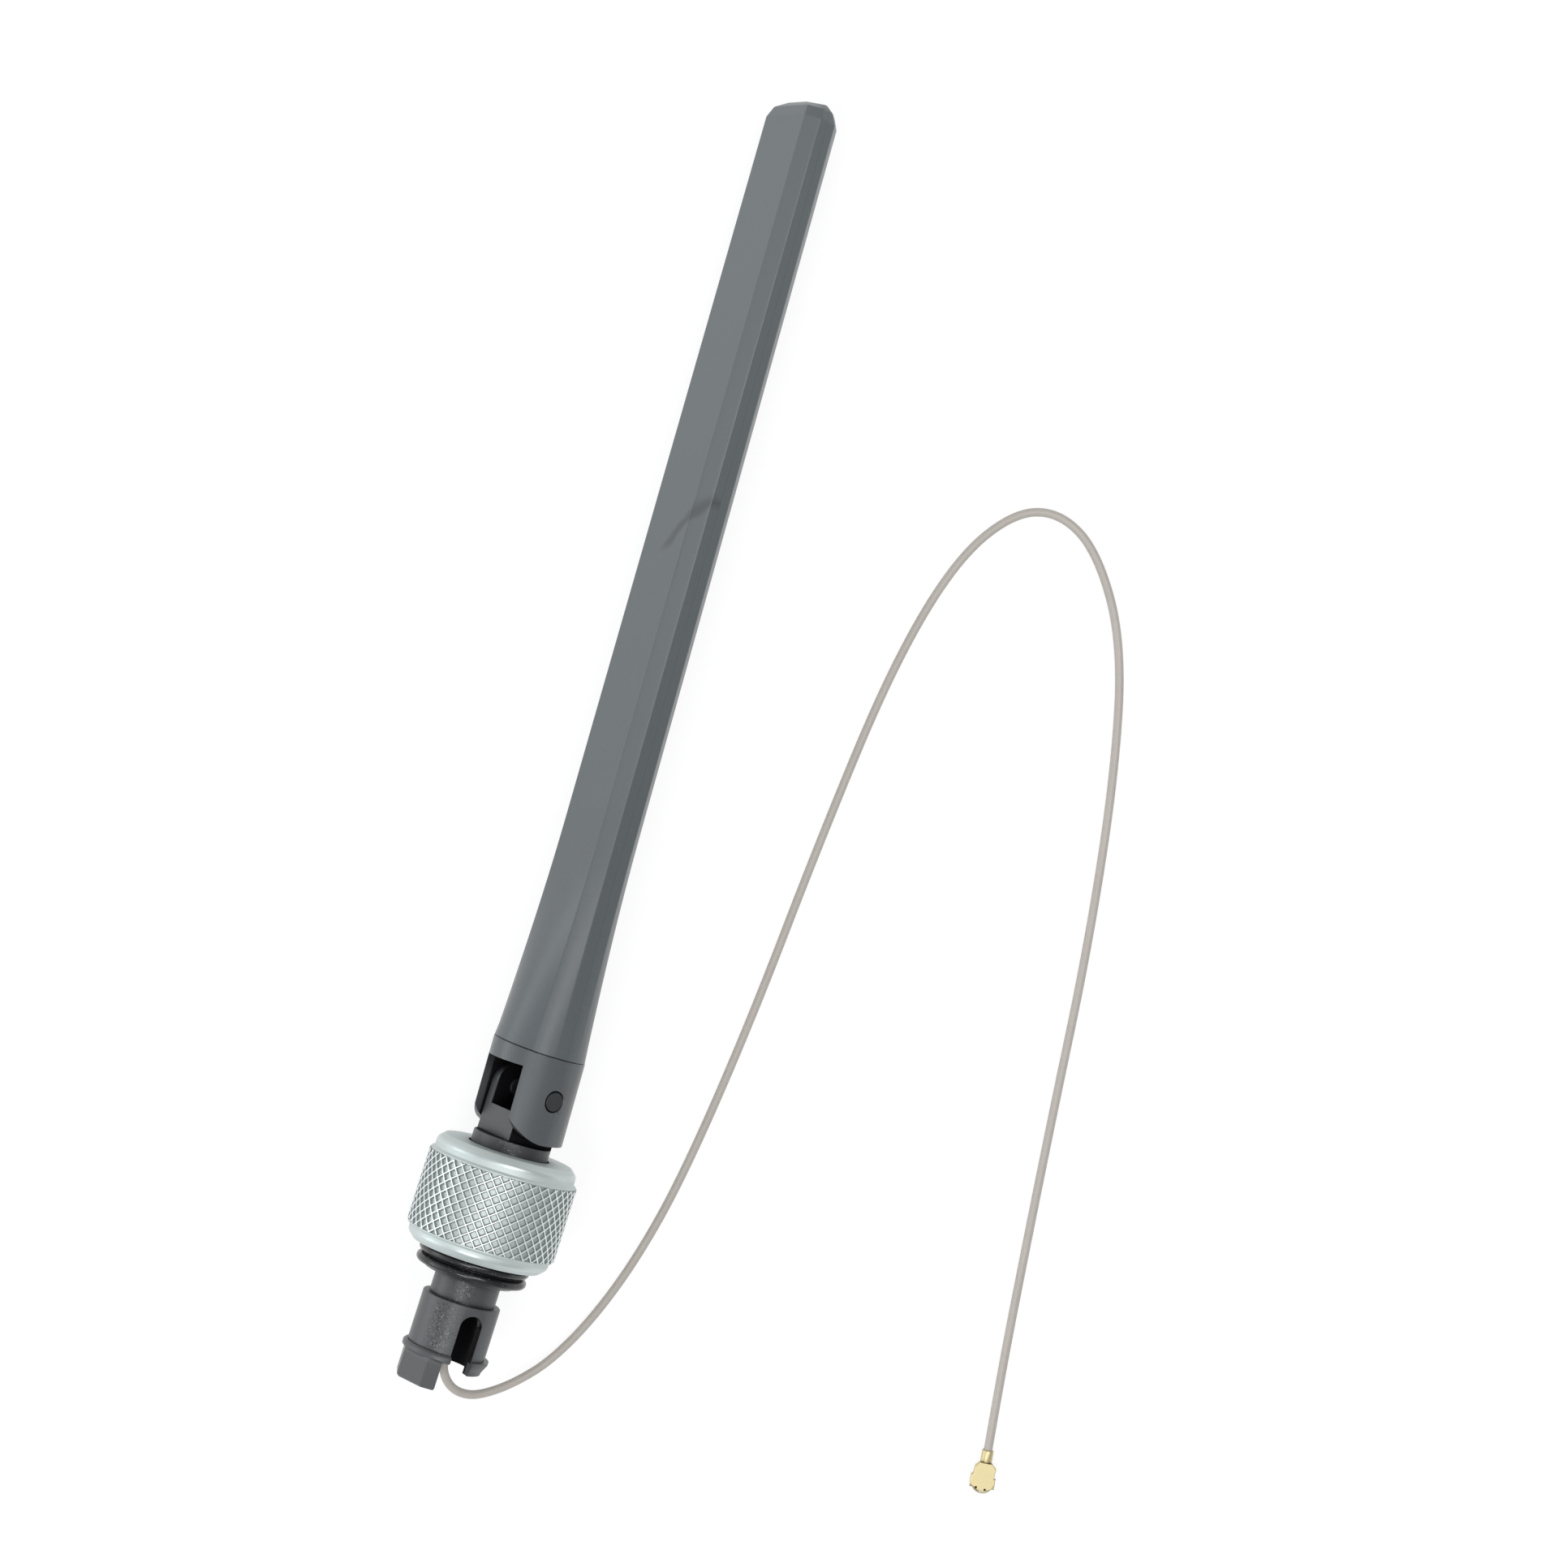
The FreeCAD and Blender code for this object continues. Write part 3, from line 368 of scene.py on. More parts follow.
def placed(name, shape, material, smooth_angle):
    """Makes a piece of the object from a bmesh, shaded smooth up to an angle."""
    mesh = bpy.data.meshes.new(name)
    shape.to_mesh(mesh)
    shape.free()
    mesh.shade_smooth()
    mesh.set_sharp_from_angle(angle=math.radians(smooth_angle))
    mesh.materials.append(material)
    piece = bpy.data.objects.new(name, mesh)
    bpy.context.scene.collection.objects.link(piece)
    return piece


def finished(name, shape, material, body, smooth_angle=38.0):
    """A placed piece that rides on one body, with its shading held flat on its large faces."""
    bmesh.ops.recalc_face_normals(shape, faces=shape.faces[:])
    piece = placed(name, shape, material, smooth_angle)
    weighted = piece.modifiers.new("weighted", "WEIGHTED_NORMAL")
    weighted.keep_sharp = True
    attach(piece, body)
    return piece


def round_edges(shape, angle, offset, segments):
    """Rounds all edges of a shape that turn by more than an angle."""
    limit = math.radians(angle)
    sharp = [e for e in shape.edges if len(e.link_faces) == 2 and e.calc_face_angle() > limit]
    bmesh.ops.bevel(
        shape,
        geom=sharp,
        offset=offset,
        offset_type="OFFSET",
        segments=segments,
        profile=0.5,
        affect="EDGES",
        clamp_overlap=True,
        material=-1,
    )


def softened(node, edge_mm):
    """A merged copy of a CAD node's mesh with its sharp edges rounded a little."""
    shape = bmesh.new()
    shape.from_mesh(cad[node].data)
    bmesh.ops.remove_doubles(shape, verts=shape.verts[:], dist=MERGE_GAP * MM)
    bmesh.ops.dissolve_degenerate(shape, edges=shape.edges[:], dist=MERGE_GAP * MM)
    bmesh.ops.dissolve_limit(
        shape, angle_limit=math.radians(FLAT_ANGLE), verts=shape.verts[:], edges=shape.edges[:]
    )
    round_edges(shape, SHARP_ANGLE, edge_mm * MM, 2)
    return shape


MERGE_GAP = 0.002
FLAT_ANGLE = 0.6
SHARP_ANGLE = 30.0
BASE_COLOUR = (0.064, 0.067, 0.071)
BASE_EDGE = 0.09
# Noise from which a speck starts, noise at which it is full, and its colour. On the base the
# pale specks are partly painted glints of the highlight.
SPECK_KINDS = ((0.61, 0.67, (0.20, 0.20, 0.19)), (0.42, 0.37, (0.02, 0.02, 0.022)))
DUST_AND_GLINT_SCALE = 4200.0
# Patches of dust and painted glints on the neck, the sleeve twice and the collar: a place and
# a reach.
DUST_AND_GLINT_SPOTS = (
    ((-3.4, 2.6, -26.0), 1.9),
    ((-2.9, 4.2, -29.4), 2.4),
    ((-3.2, 3.95, -32.3), 2.5),
    ((-4.0, 3.1, -7.1), 1.9),
)
# Hollows that hardly any light reaches, as limits of radius or sides and of station.
UNLIT = (0.006, 0.006, 0.007)
UNLIT_SPECULAR = 0.08
PLAIN_SPECULAR = 0.5
SLEEVE_HOLLOW = ((0.0, 5.0), (-34.4, -28.2))
BARB_HOLLOW = ((0.0, 4.2), (-36.0, -34.4))
COLLAR_RECESS = ((-8.0, -3.53), (-6.40, -2.0))
TONGUE_HOLLOW = ((-2.45, 2.45), (-3.0, 3.1), (-3.2, 8.0))
COLLAR_LINE = ((-6.37, -6.28),)
# Stretches that stand in shade, as limits of station and how dark.
SHADED_STRETCHES = ((((-24.7, -21.3),), 0.6), (((-44.0, -35.4),), 0.22))
base_plastic, tree, skin, body = plastic("base_plastic", BASE_COLOUR, 0.38, shade_in_crevices=0.96)
shaded = body.inputs["Base Color"].links[0].from_socket
# Dust with painted glints: pale and dark specks in patches on the neck, sleeve and collar.
for spot, reach in DUST_AND_GLINT_SPOTS:
    shaded = speckled(tree, shaded, foot_place_mm @ Vector(spot), reach * MM, DUST_AND_GLINT_SCALE)
spot = in_frame(tree, foot_place)
axes = shader(tree, "ShaderNodeSeparateXYZ", Vector=spot).outputs
radius = off_axis(tree, spot, (1, 1, 0))
# Painted shade: the hollows of the sleeve, barb, recess and tongue and the collar's top face are coloured as
# unlit, with little sheen.
painted_shade_share = combined(
    tree,
    "MAXIMUM",
    [
        inside(tree, (radius, axes["Z"]), SLEEVE_HOLLOW),
        inside(tree, (radius, axes["Z"]), BARB_HOLLOW),
        inside(tree, (axes["X"], axes["Z"]), COLLAR_RECESS),
        inside(tree, (axes["X"], axes["Y"], axes["Z"]), TONGUE_HOLLOW),
        inside(tree, (axes["Z"],), COLLAR_LINE),
    ],
)
# Painted shade over the stretches in shade: the flange and the key block.
for limits, level in SHADED_STRETCHES:
    share = maths(tree, "MULTIPLY", inside(tree, (axes["Z"],), limits), level)
    shaded = mixed_colour(tree, share, shaded, UNLIT)
darkened = mixed_colour(tree, painted_shade_share, shaded, UNLIT)
tree.links.new(darkened, body.inputs["Base Color"])
gloss = maths(tree, "MULTIPLY_ADD", painted_shade_share, UNLIT_SPECULAR - PLAIN_SPECULAR, PLAIN_SPECULAR)
tree.links.new(gloss, body.inputs["Specular IOR Level"])
base_piece = finished(
    "base_moulding", softened("mount_body", BASE_EDGE), base_plastic, "base"
)
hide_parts("mount_body")

# Two seal rings of black rubber, lightly greased, stretched into the grooves of the flange.
# They seal the antenna in the device's socket, and the nut slides over them.
RING_BLACK = (0.010, 0.010, 0.011)
RING_DUST = (0.22, 0.22, 0.21)
ring_rubber, tree, output = empty_material("ring_rubber")
place = tree.nodes.new("ShaderNodeTexCoord").outputs["Object"]
film = shader(tree, "ShaderNodeTexNoise", Vector=place, Scale=900.0, Detail=3.0)
dust = shader(tree, "ShaderNodeTexNoise", Vector=place, Scale=5200.0, Detail=1.0)
sheen = shader(tree, "ShaderNodeMapRange", Value=film.outputs["Fac"], To_Min=0.12, To_Max=0.32)
specks = shader(tree, "ShaderNodeMapRange", Value=dust.outputs["Fac"], From_Min=0.70, From_Max=0.74)
wave = shader(tree, "ShaderNodeBump", Strength=0.3, Distance=1.0e-5, Height=film.outputs["Fac"])
rubber = shader(
    tree,
    "ShaderNodeBsdfPrincipled",
    Base_Color=mixed_colour(tree, specks.outputs[0], RING_BLACK, RING_DUST),
    Roughness=sheen.outputs[0],
    Normal=wave.outputs["Normal"],
)
tree.links.new(rubber.outputs[0], output.inputs["Surface"])


def keep_node(node, material):
    """Keeps a CAD node's shape and gives it its finish."""
    cad[node].data.materials.clear()
    cad[node].data.materials.append(material)


for node in ("o_ring_upper", "o_ring_lower"):
    keep_node(node, ring_rubber)

# Slip washer: a flat ring of smooth black plastic between the nut's web and the neck. It lets
# the nut turn freely and slides down the neck with it.
washer_plastic = plastic("washer_plastic", (0.02, 0.02, 0.022), 0.3, grain_depth=2.0e-6)[0]
keep_node("slip_washer", washer_plastic)

# Union nut: turned from aluminium bar, knurled with two crossing wheels, bead blasted and
# anodised pale. Its band carries crossing ridges with flat-bottomed pits between them; the
# ridge tops are worn and carry a painted highlight, the pits' flanks carry painted shade,
# and the hole's wall and the crevices are painted dark with shade.
NUT_TOP = -7.9
NUT_LENGTH = 13.8
NUT_HOLE_R = 5.35
NUT_WEB = 3.2
NUT_THREAD_R = 7.88
NUT_UNDERCUT_R = 7.95
NUT_MOUTH_R = 8.1
NUT_LAND_R = 9.22
NUT_TOP_R = 8.35
NUT_EDGE = ((0.22, 0.60), (0.09, 0.76), (0.02, 0.93), (0.0, 1.12))
BAND_START = 2.0
BAND_LENGTH = 10.1
BAND_MARGIN = 0.32
MARGIN_R = 9.62
RIDGE_R = 9.78
CORE_R = 9.2
KNURL_STEEP = 46
KNURL_SHALLOW = 37
KNURL_STEEP_RISE = 0.6155
KNURL_SHALLOW_RISE = 0.7745
PIT_STEPS = ((0.065, 0.0), (0.03, -0.02), (0.15, -0.32), (0.04, -0.02))
BAND_STEP = 0.12
NUT_EDGE_ROUND = 0.07
THREAD_PITCH = 1.0
THREAD_DEPTH = 0.42
THREAD_START = 1.2
THREAD_TURNS = 8
THREAD_STEPS = 64
THREAD_ROOT_HALF = 0.42
THREAD_CREST_HALF = 0.1


def turned_shape(outline, steps):
    """A closed outline of (radius, station) points in millimetres, spun about the axis."""
    shape = bmesh.new()
    points = [shape.verts.new((r, 0.0, z)) for r, z in outline]
    edges = [shape.edges.new((a, b)) for a, b in zip(points, points[1:] + points[:1])]
    bmesh.ops.spin(
        shape,
        geom=points + edges,
        cent=(0, 0, 0),
        axis=(0, 0, 1),
        angle=math.tau,
        steps=steps,
        use_merge=True,
        use_duplicate=False,
    )
    bmesh.ops.remove_doubles(shape, verts=shape.verts[:], dist=1.0e-4)
    bmesh.ops.recalc_face_normals(shape, faces=shape.faces[:])
    return shape


def nut_body():
    """The nut's turned body, plain under its knurled band."""
    bottom = NUT_TOP - NUT_LENGTH
    band_top = NUT_TOP - BAND_START
    band_end = band_top - BAND_LENGTH
    web_end = NUT_TOP - NUT_WEB
    shape = turned_shape(
        [
            (NUT_HOLE_R, NUT_TOP),
            (NUT_TOP_R, NUT_TOP),
            *[(NUT_LAND_R - inset, NUT_TOP - drop) for inset, drop in NUT_EDGE],
            (NUT_LAND_R, band_top + BAND_STEP),
            (MARGIN_R, band_top - BAND_STEP),
            (MARGIN_R, band_top - BAND_MARGIN),
            (CORE_R, band_top - BAND_MARGIN),
            (CORE_R, band_end + BAND_MARGIN),
            (MARGIN_R, band_end + BAND_MARGIN),
            (MARGIN_R, band_end + BAND_STEP),
            (NUT_LAND_R, band_end - BAND_STEP),
            *[(NUT_LAND_R - inset, bottom + drop) for inset, drop in NUT_EDGE[::-1]],
            (NUT_TOP_R, bottom),
            (NUT_MOUTH_R, bottom),
            (NUT_THREAD_R + 0.02, bottom + 0.65),
            (NUT_THREAD_R + 0.02, web_end - 1.1),
            (NUT_UNDERCUT_R, web_end - 0.6),
            (NUT_UNDERCUT_R, web_end),
            (NUT_HOLE_R, web_end),
        ],
        144,
    )
    round_edges(shape, 20.0, NUT_EDGE_ROUND, 2)
    return shape


def knurl_cell(shape, step_a, step_b):
    """One cell between four crossing ridges, inset and sunk in steps. Returns its elements."""
    rim = []
    for a, b in ((0, 0), (1, 0), (1, 1), (0, 1)):
        turn = a * step_a[0] + b * step_b[0]
        rise = a * step_a[1] + b * step_b[1]
        rim.append(shape.verts.new((RIDGE_R * math.cos(turn), RIDGE_R * math.sin(turn), rise)))
    cell = shape.faces.new(rim)
    cell.normal_update()
    if cell.normal.x < 0:
        cell.normal_flip()
    for run, depth in PIT_STEPS:
        bmesh.ops.inset_individual(shape, faces=[cell], thickness=run, depth=depth)
    return shape.verts[:] + shape.edges[:] + shape.faces[:]


def at_band_end(edge, stations):
    """Tells an open edge that lies on an end of the band."""
    return edge.is_boundary and any(
        abs(edge.verts[0].co.z - z) + abs(edge.verts[1].co.z - z) < 0.01 for z in stations
    )


def cut_band(shape, stations):
    """Cuts the knurl off square at both ends and closes it down to the body."""
    for station, side in zip(stations, (1, -1)):
        bmesh.ops.bisect_plane(
            shape,
            geom=shape.verts[:] + shape.edges[:] + shape.faces[:],
            dist=1.0e-4,
            plane_co=(0, 0, station),
            plane_no=(0, 0, side),
            clear_outer=True,
        )
    ends = [e for e in shape.edges if at_band_end(e, stations)]
    walls = bmesh.ops.extrude_edge_only(shape, edges=ends)
    for vert in [g for g in walls["geom"] if isinstance(g, bmesh.types.BMVert)]:
        share = (CORE_R - 0.1) / math.hypot(vert.co.x, vert.co.y)
        vert.co.x *= share
        vert.co.y *= share


def knurl_band():
    """The knurl: one cell, repeated along both families of ridges. Each family has its own
    count round the nut and its own rise per millimetre."""
    band_top = NUT_TOP - BAND_START - BAND_MARGIN
    length = BAND_LENGTH - 2 * BAND_MARGIN
    first = KNURL_STEEP / math.tau
    second = KNURL_SHALLOW / math.tau
    whole = first * KNURL_SHALLOW_RISE + second * KNURL_STEEP_RISE
    step_a = (KNURL_SHALLOW_RISE / whole, second / whole)
    step_b = (KNURL_STEEP_RISE / whole, -first / whole)
    shape = bmesh.new()
    first_cell = knurl_cell(shape, step_a, step_b)
    middle_turn = (step_a[0] + step_b[0]) / 2
    middle_rise = (step_a[1] + step_b[1]) / 2
    cells = KNURL_STEEP + KNURL_SHALLOW
    for a, b in itertools.product(range(cells), range(-cells, cells)):
        turn = a * step_a[0] + b * step_b[0]
        rise = a * step_a[1] + b * step_b[1]
        if not 0 <= turn + middle_turn < math.tau - 1.0e-6:
            continue
        if abs(rise + middle_rise) > length / 2 + 1.0:
            continue
        copy = bmesh.ops.duplicate(shape, geom=first_cell)
        verts = [g for g in copy["geom"] if isinstance(g, bmesh.types.BMVert)]
        bmesh.ops.rotate(shape, verts=verts, cent=(0, 0, 0), matrix=Matrix.Rotation(turn, 3, "Z"))
        bmesh.ops.translate(shape, verts=verts, vec=(0, 0, band_top - length / 2 + rise))
    bmesh.ops.delete(
        shape, geom=[g for g in first_cell if isinstance(g, bmesh.types.BMVert)], context="VERTS"
    )
    bmesh.ops.remove_doubles(shape, verts=shape.verts[:], dist=MERGE_GAP)
    cut_band(shape, (band_top, band_top - length))
    return shape


def nut_thread():
    """The nut's inner thread: one ridge wound down the bore."""
    top = NUT_TOP - NUT_WEB - THREAD_START
    shape = bmesh.new()
    root = NUT_THREAD_R + 0.1
    crest = NUT_THREAD_R - THREAD_DEPTH
    profile = [
        (root, THREAD_ROOT_HALF),
        (crest, THREAD_CREST_HALF),
        (crest, -THREAD_CREST_HALF),
        (root, -THREAD_ROOT_HALF),
    ]
    points = [shape.verts.new((r, 0.0, top + z)) for r, z in profile]
    edges = [shape.edges.new((a, b)) for a, b in zip(points, points[1:])]
    bmesh.ops.spin(
        shape,
        geom=points + edges,
        cent=(0, 0, 0),
        axis=(0, 0, 1),
        dvec=(0, 0, -THREAD_PITCH / THREAD_STEPS),
        angle=math.tau * THREAD_TURNS,
        steps=THREAD_STEPS * THREAD_TURNS,
        use_duplicate=False,
    )
    return shape


def joined(shapes):
    """Several shapes as one."""
    whole = bmesh.new()
    for shape in shapes:
        bmesh.ops.recalc_face_normals(shape, faces=shape.faces[:])
        part = bpy.data.meshes.new("part")
        shape.to_mesh(part)
        shape.free()
        whole.from_mesh(part)
        bpy.data.meshes.remove(part)
    return whole


def satin_skin_group():
    """Satin metal: a fine tooth, slight changes of tone and an uneven sheen."""
    group = bpy.data.node_groups.new("satin_skin", "ShaderNodeTree")
    group_socket(group, "Colour", "NodeSocketColor")
    group_socket(group, "Sheen Roughness", "NodeSocketFloat", value=0.3)
    group_socket(group, "Colour", "NodeSocketColor", out=True)
    group_socket(group, "Roughness", "NodeSocketFloat", out=True)
    group_socket(group, "Height", "NodeSocketFloat", out=True)
    entry = group.nodes.new("NodeGroupInput")
    leave = group.nodes.new("NodeGroupOutput")
    place = group.nodes.new("ShaderNodeTexCoord").outputs["Object"]
    tooth = shader(group, "ShaderNodeTexNoise", Vector=place, Scale=9000.0, Detail=2.0)
    drift = shader(group, "ShaderNodeTexNoise", Vector=place, Scale=350.0, Detail=2.0)
    level = maths(group, "MULTIPLY_ADD", drift.outputs["Fac"], 0.10, 0.95)
    tint = shader(group, "ShaderNodeVectorMath", "SCALE", i0=entry.outputs["Colour"], Scale=level)
    sheen = maths(group, "MULTIPLY_ADD", tooth.outputs["Fac"], 0.12, -0.06)
    rough = maths(group, "ADD", sheen, entry.outputs["Sheen Roughness"])
    group.links.new(tint.outputs["Vector"], leave.inputs["Colour"])
    group.links.new(rough, leave.inputs["Roughness"])
    group.links.new(tooth.outputs["Fac"], leave.inputs["Height"])
    return group


satin_skin = satin_skin_group()


def satin_metal(name, colour, roughness):
    """Satin metal of one colour. Returns the material, its tree, skin node and shader."""
    material, tree, output = empty_material(name)
    skin = tree.nodes.new("ShaderNodeGroup")
    skin.node_tree = satin_skin
    skin.inputs["Colour"].default_value = (*colour, 1.0)
    skin.inputs["Sheen Roughness"].default_value = roughness
    bump = shader(tree, "ShaderNodeBump", Strength=0.4, Distance=3.0e-6, Height=skin.outputs["Height"])
    metal = shader(
        tree,
        "ShaderNodeBsdfPrincipled",
        Base_Color=skin.outputs["Colour"],
        Metallic=1.0,
        Roughness=skin.outputs["Roughness"],
        Normal=bump.outputs["Normal"],
    )
    tree.links.new(metal.outputs[0], output.inputs["Surface"])
    return material, tree, skin, metal


NUT_COLOUR = (0.565, 0.618, 0.608)
HIGHLIT_RIDGE_COLOUR = (0.94, 0.97, 0.96)
FLANK_SHADE_COLOUR = (0.33, 0.37, 0.36)
HOLE_SHADE_COLOUR = (0.02, 0.02, 0.02)
POLISHED_ROUGH = 0.38
NUT_ROUGH = 0.56
NUT_METALLIC = 0.65
CUT_ROUGH = 0.50
# Limits in millimetres: the polished chamfers from either end, and the ridges' tops, worn
# and with a painted highlight, and their flanks with painted shade, below the knurl's outer radius.
EDGE_SHINE = (0.55, 1.2)
WORN_AND_HIGHLIT_RIDGE = (0.07, 0.03)
FLANK_DEPTH = (0.32, 0.06)
nut_metal, tree, skin, metal = satin_metal("nut_aluminium", NUT_COLOUR, NUT_ROUGH)
metal.inputs["Metallic"].default_value = NUT_METALLIC
spot = in_frame(tree, foot_place)
station = shader(tree, "ShaderNodeSeparateXYZ", Vector=spot).outputs["Z"]
radius = off_axis(tree, spot, (1, 1, 0))
cut_high = NUT_TOP - BAND_START - BAND_MARGIN
cut_low = cut_high - (BAND_LENGTH - 2 * BAND_MARGIN)
nut_end = NUT_TOP - NUT_LENGTH
in_band = inside(tree, (station,), ((cut_low, cut_high),))
cut_rough = maths(tree, "MULTIPLY_ADD", in_band, CUT_ROUGH - NUT_ROUGH, NUT_ROUGH)
upper_edge = inside(tree, (station,), ((NUT_TOP - EDGE_SHINE[1], NUT_TOP - EDGE_SHINE[0]),))
lower_edge = inside(tree, (station,), ((nut_end + EDGE_SHINE[0], nut_end + EDGE_SHINE[1]),))
ridge = shader(
    tree,
    "ShaderNodeMapRange",
    Value=radius,
    From_Min=(RIDGE_R - WORN_AND_HIGHLIT_RIDGE[0]) * MM,
    From_Max=(RIDGE_R - WORN_AND_HIGHLIT_RIDGE[1]) * MM,
).outputs["Result"]
nut_rough = shader(
    tree,
    "ShaderNodeMapRange",
    Value=combined(tree, "MAXIMUM", [upper_edge, lower_edge, ridge]),
    To_Min=cut_rough,
    To_Max=POLISHED_ROUGH,
)
tree.links.new(nut_rough.outputs["Result"], skin.inputs["Sheen Roughness"])
# Painted shade in the knurl's pits and the nut's crevices.
shade = shaded_crevices(
    tree, skin.outputs["Colour"], reach=0.0006, closed=0.30, opened=0.80, darkest=0.62
)
# Painted shade on the pits' flanks; the ridge tops are paler, worn and with a painted highlight.
flank = inside(
    tree,
    (radius, station),
    ((RIDGE_R - FLANK_DEPTH[0], RIDGE_R - FLANK_DEPTH[1]), (cut_low, cut_high)),
)
flanked = mixed_colour(tree, flank, shade, FLANK_SHADE_COLOUR)
worn_and_highlit = mixed_colour(tree, ridge, flanked, HIGHLIT_RIDGE_COLOUR)
# Painted shade: the wall of the nut's hole is coloured near black.
in_hole = inside(tree, (radius,), ((0.0, NUT_HOLE_R + 0.03),))
holed = mixed_colour(tree, in_hole, worn_and_highlit, HOLE_SHADE_COLOUR)
tree.links.new(holed, metal.inputs["Base Color"])
nut_shape = joined([nut_body(), knurl_band(), nut_thread()])
bmesh.ops.transform(nut_shape, matrix=foot_place_mm, verts=nut_shape.verts[:])
nut_piece = placed("union_nut", nut_shape, nut_metal, 24.0)
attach(nut_piece, "nut")
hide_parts("knurled_nut")

# Grommet: a plug of soft rubber with one hole, pressed into the foot's bore. It grips the lead
# and keeps water out of the base.
grommet_rubber = plastic("grommet_rubber", (0.03, 0.03, 0.032), 0.65, grain_depth=1.2e-5)[0]
keep_node("cable_grommet", grommet_rubber)

# Knuckle: the fork that carries the rod, moulded in grey plastic, with the two hinge pins
# pressed into its ears and a window that the base's tongue swings in.
REST_FOLD = math.radians(joints["antenna_fold"]["range_deg"][0])
rod_place = foot_place @ Matrix.Rotation(REST_FOLD, 4, "X")
rod_place_mm = rod_place @ Matrix.Scale(MM, 4)
KNUCKLE_COLOUR = (0.080, 0.087, 0.092)
PIN_COLOUR = (0.020, 0.022, 0.024)
knuckle_plastic, tree, skin, body = plastic("knuckle_plastic", KNUCKLE_COLOUR, 0.32, drift=0.10, shade_in_crevices=0.9)
PARTING = 5.3
PARTING_LIFT = 0.295
PARTING_TILT = Vector((0.039, 0.046))
JOINT_HALF = 0.08
PIN_RING = (1.26, 1.42)
KNUCKLE_BORE = (0.0, 5.3)
SCUFF_PLACE = (-6.07, -0.59, -1.50)
SCUFF_REACH = 0.75
SCUFF_SCALE = 5200.0
KNUCKLE_EDGE = 0.12
PIN_EDGE = 0.1


def tilt_parting(shape, low, high):
    """The glued joint is a little askew: its rings lean, most at the joint itself."""
    back = rod_place_mm.inverted()
    for vert in shape.verts:
        spot = back @ vert.co
        if low <= spot.z <= high:
            lean = PARTING_LIFT + spot.xy.dot(PARTING_TILT)
            vert.co = rod_place_mm @ (spot + Vector((0, 0, lean)))


def joint_line_group():
    """The dark hairline where the rod is glued on the knuckle."""
    group = bpy.data.node_groups.new("joint_line", "ShaderNodeTree")
    group_socket(group, "Colour", "NodeSocketColor")
    group_socket(group, "Colour", "NodeSocketColor", out=True)
    entry = group.nodes.new("NodeGroupInput")
    leave = group.nodes.new("NodeGroupOutput")
    spot = in_frame(group, rod_place)
    leaning = (-PARTING_TILT.x, -PARTING_TILT.y, 1.0)
    height = shader(group, "ShaderNodeVectorMath", "DOT_PRODUCT", i0=spot, i1=leaning)
    middle = (PARTING + PARTING_LIFT) * MM
    on_line = between(group, height.outputs["Value"], middle - JOINT_HALF * MM, middle + JOINT_HALF * MM)
    lined = mixed_colour(group, on_line, entry.outputs["Colour"], UNLIT)
    group.links.new(lined, leave.inputs["Colour"])
    return group


def jointed(tree, body):
    """Draws the joint's hairline over a body's colour."""
    line = tree.nodes.new("ShaderNodeGroup")
    line.node_tree = joint_line
    tree.links.new(body.inputs["Base Color"].links[0].from_socket, line.inputs["Colour"])
    tree.links.new(line.outputs["Colour"], body.inputs["Base Color"])


joint_line = joint_line_group()
# Painted shade: a ring round each hinge pin and the knuckle's bore are coloured as unlit.
spot = in_frame(tree, rod_place)
from_pin = off_axis(tree, spot, (0, 1, 1))
inner = off_axis(tree, spot, (1, 1, 0))
pin_ring = inside(tree, (from_pin,), (PIN_RING,))
in_bore = inside(tree, (inner,), (KNUCKLE_BORE,))
painted_shade_share = combined(tree, "MAXIMUM", [pin_ring, in_bore])
shaded = body.inputs["Base Color"].links[0].from_socket
scuff_place = rod_place_mm @ Vector(SCUFF_PLACE)
scuffed = speckled(tree, shaded, scuff_place, SCUFF_REACH * MM, SCUFF_SCALE)
darkened = mixed_colour(tree, painted_shade_share, scuffed, UNLIT)
tree.links.new(darkened, body.inputs["Base Color"])
jointed(tree, body)
knuckle_shape = softened("hinge_knuckle", KNUCKLE_EDGE)
tilt_parting(knuckle_shape, PARTING - 0.3, PARTING + 0.05)
knuckle_piece = finished("knuckle", knuckle_shape, knuckle_plastic, "rod")
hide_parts("hinge_knuckle")
pin_plastic = plastic("pin_plastic", PIN_COLOUR, 0.42, drift=0.2, shade_in_crevices=0.75)[0]
for name, node in (("pin_front", "hinge_pin_front"), ("pin_rear", "hinge_pin_rear")):
    pin_piece = finished(name, softened(node, PIN_EDGE), pin_plastic, "rod")
    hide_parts(node)

# Rod: a hollow moulding, glued on the knuckle. It is round at its base, and its sides flatten
# into a long thin octagon with soft ridges and a bevelled tip.
ROD_BASE = 5.3
ROD_R = 6.05
ROD_LENGTH = 126.5
BLEND_LENGTH = 31.0
WIDE_AT_BLEND = 10.75
THICK_AT_BLEND = 6.3
WIDE_AT_TIP = 10.6
THICK_AT_TIP = 5.7
LEG_WIDE = 1.4
LEG_THICK = 1.62
TIP_BEVEL_LENGTH = 2.3
TIP_BEVEL_WIDE = 1.25
TIP_BEVEL_THICK = 1.3
TIP_LEG_WIDE = 2.3
TIP_LEG_THICK = 1.35
TIP_ROUNDING = 0.85
TIP_ROUND_WIDE = 0.5
TIP_ROUND_THICK = 0.42
RIDGE_SOFTENING = 0.5
BLEND_STEPS = 14
STRAIGHT_STEPS = 6
MOUTH_SHARE = 0.8
BASE_TURNS = (17.0, 45.0, 135.0, 163.0, 197.0, 225.0, 315.0, 343.0)
SIDE_STEPS = (4, 12, 4, 4, 4, 12, 4, 4)


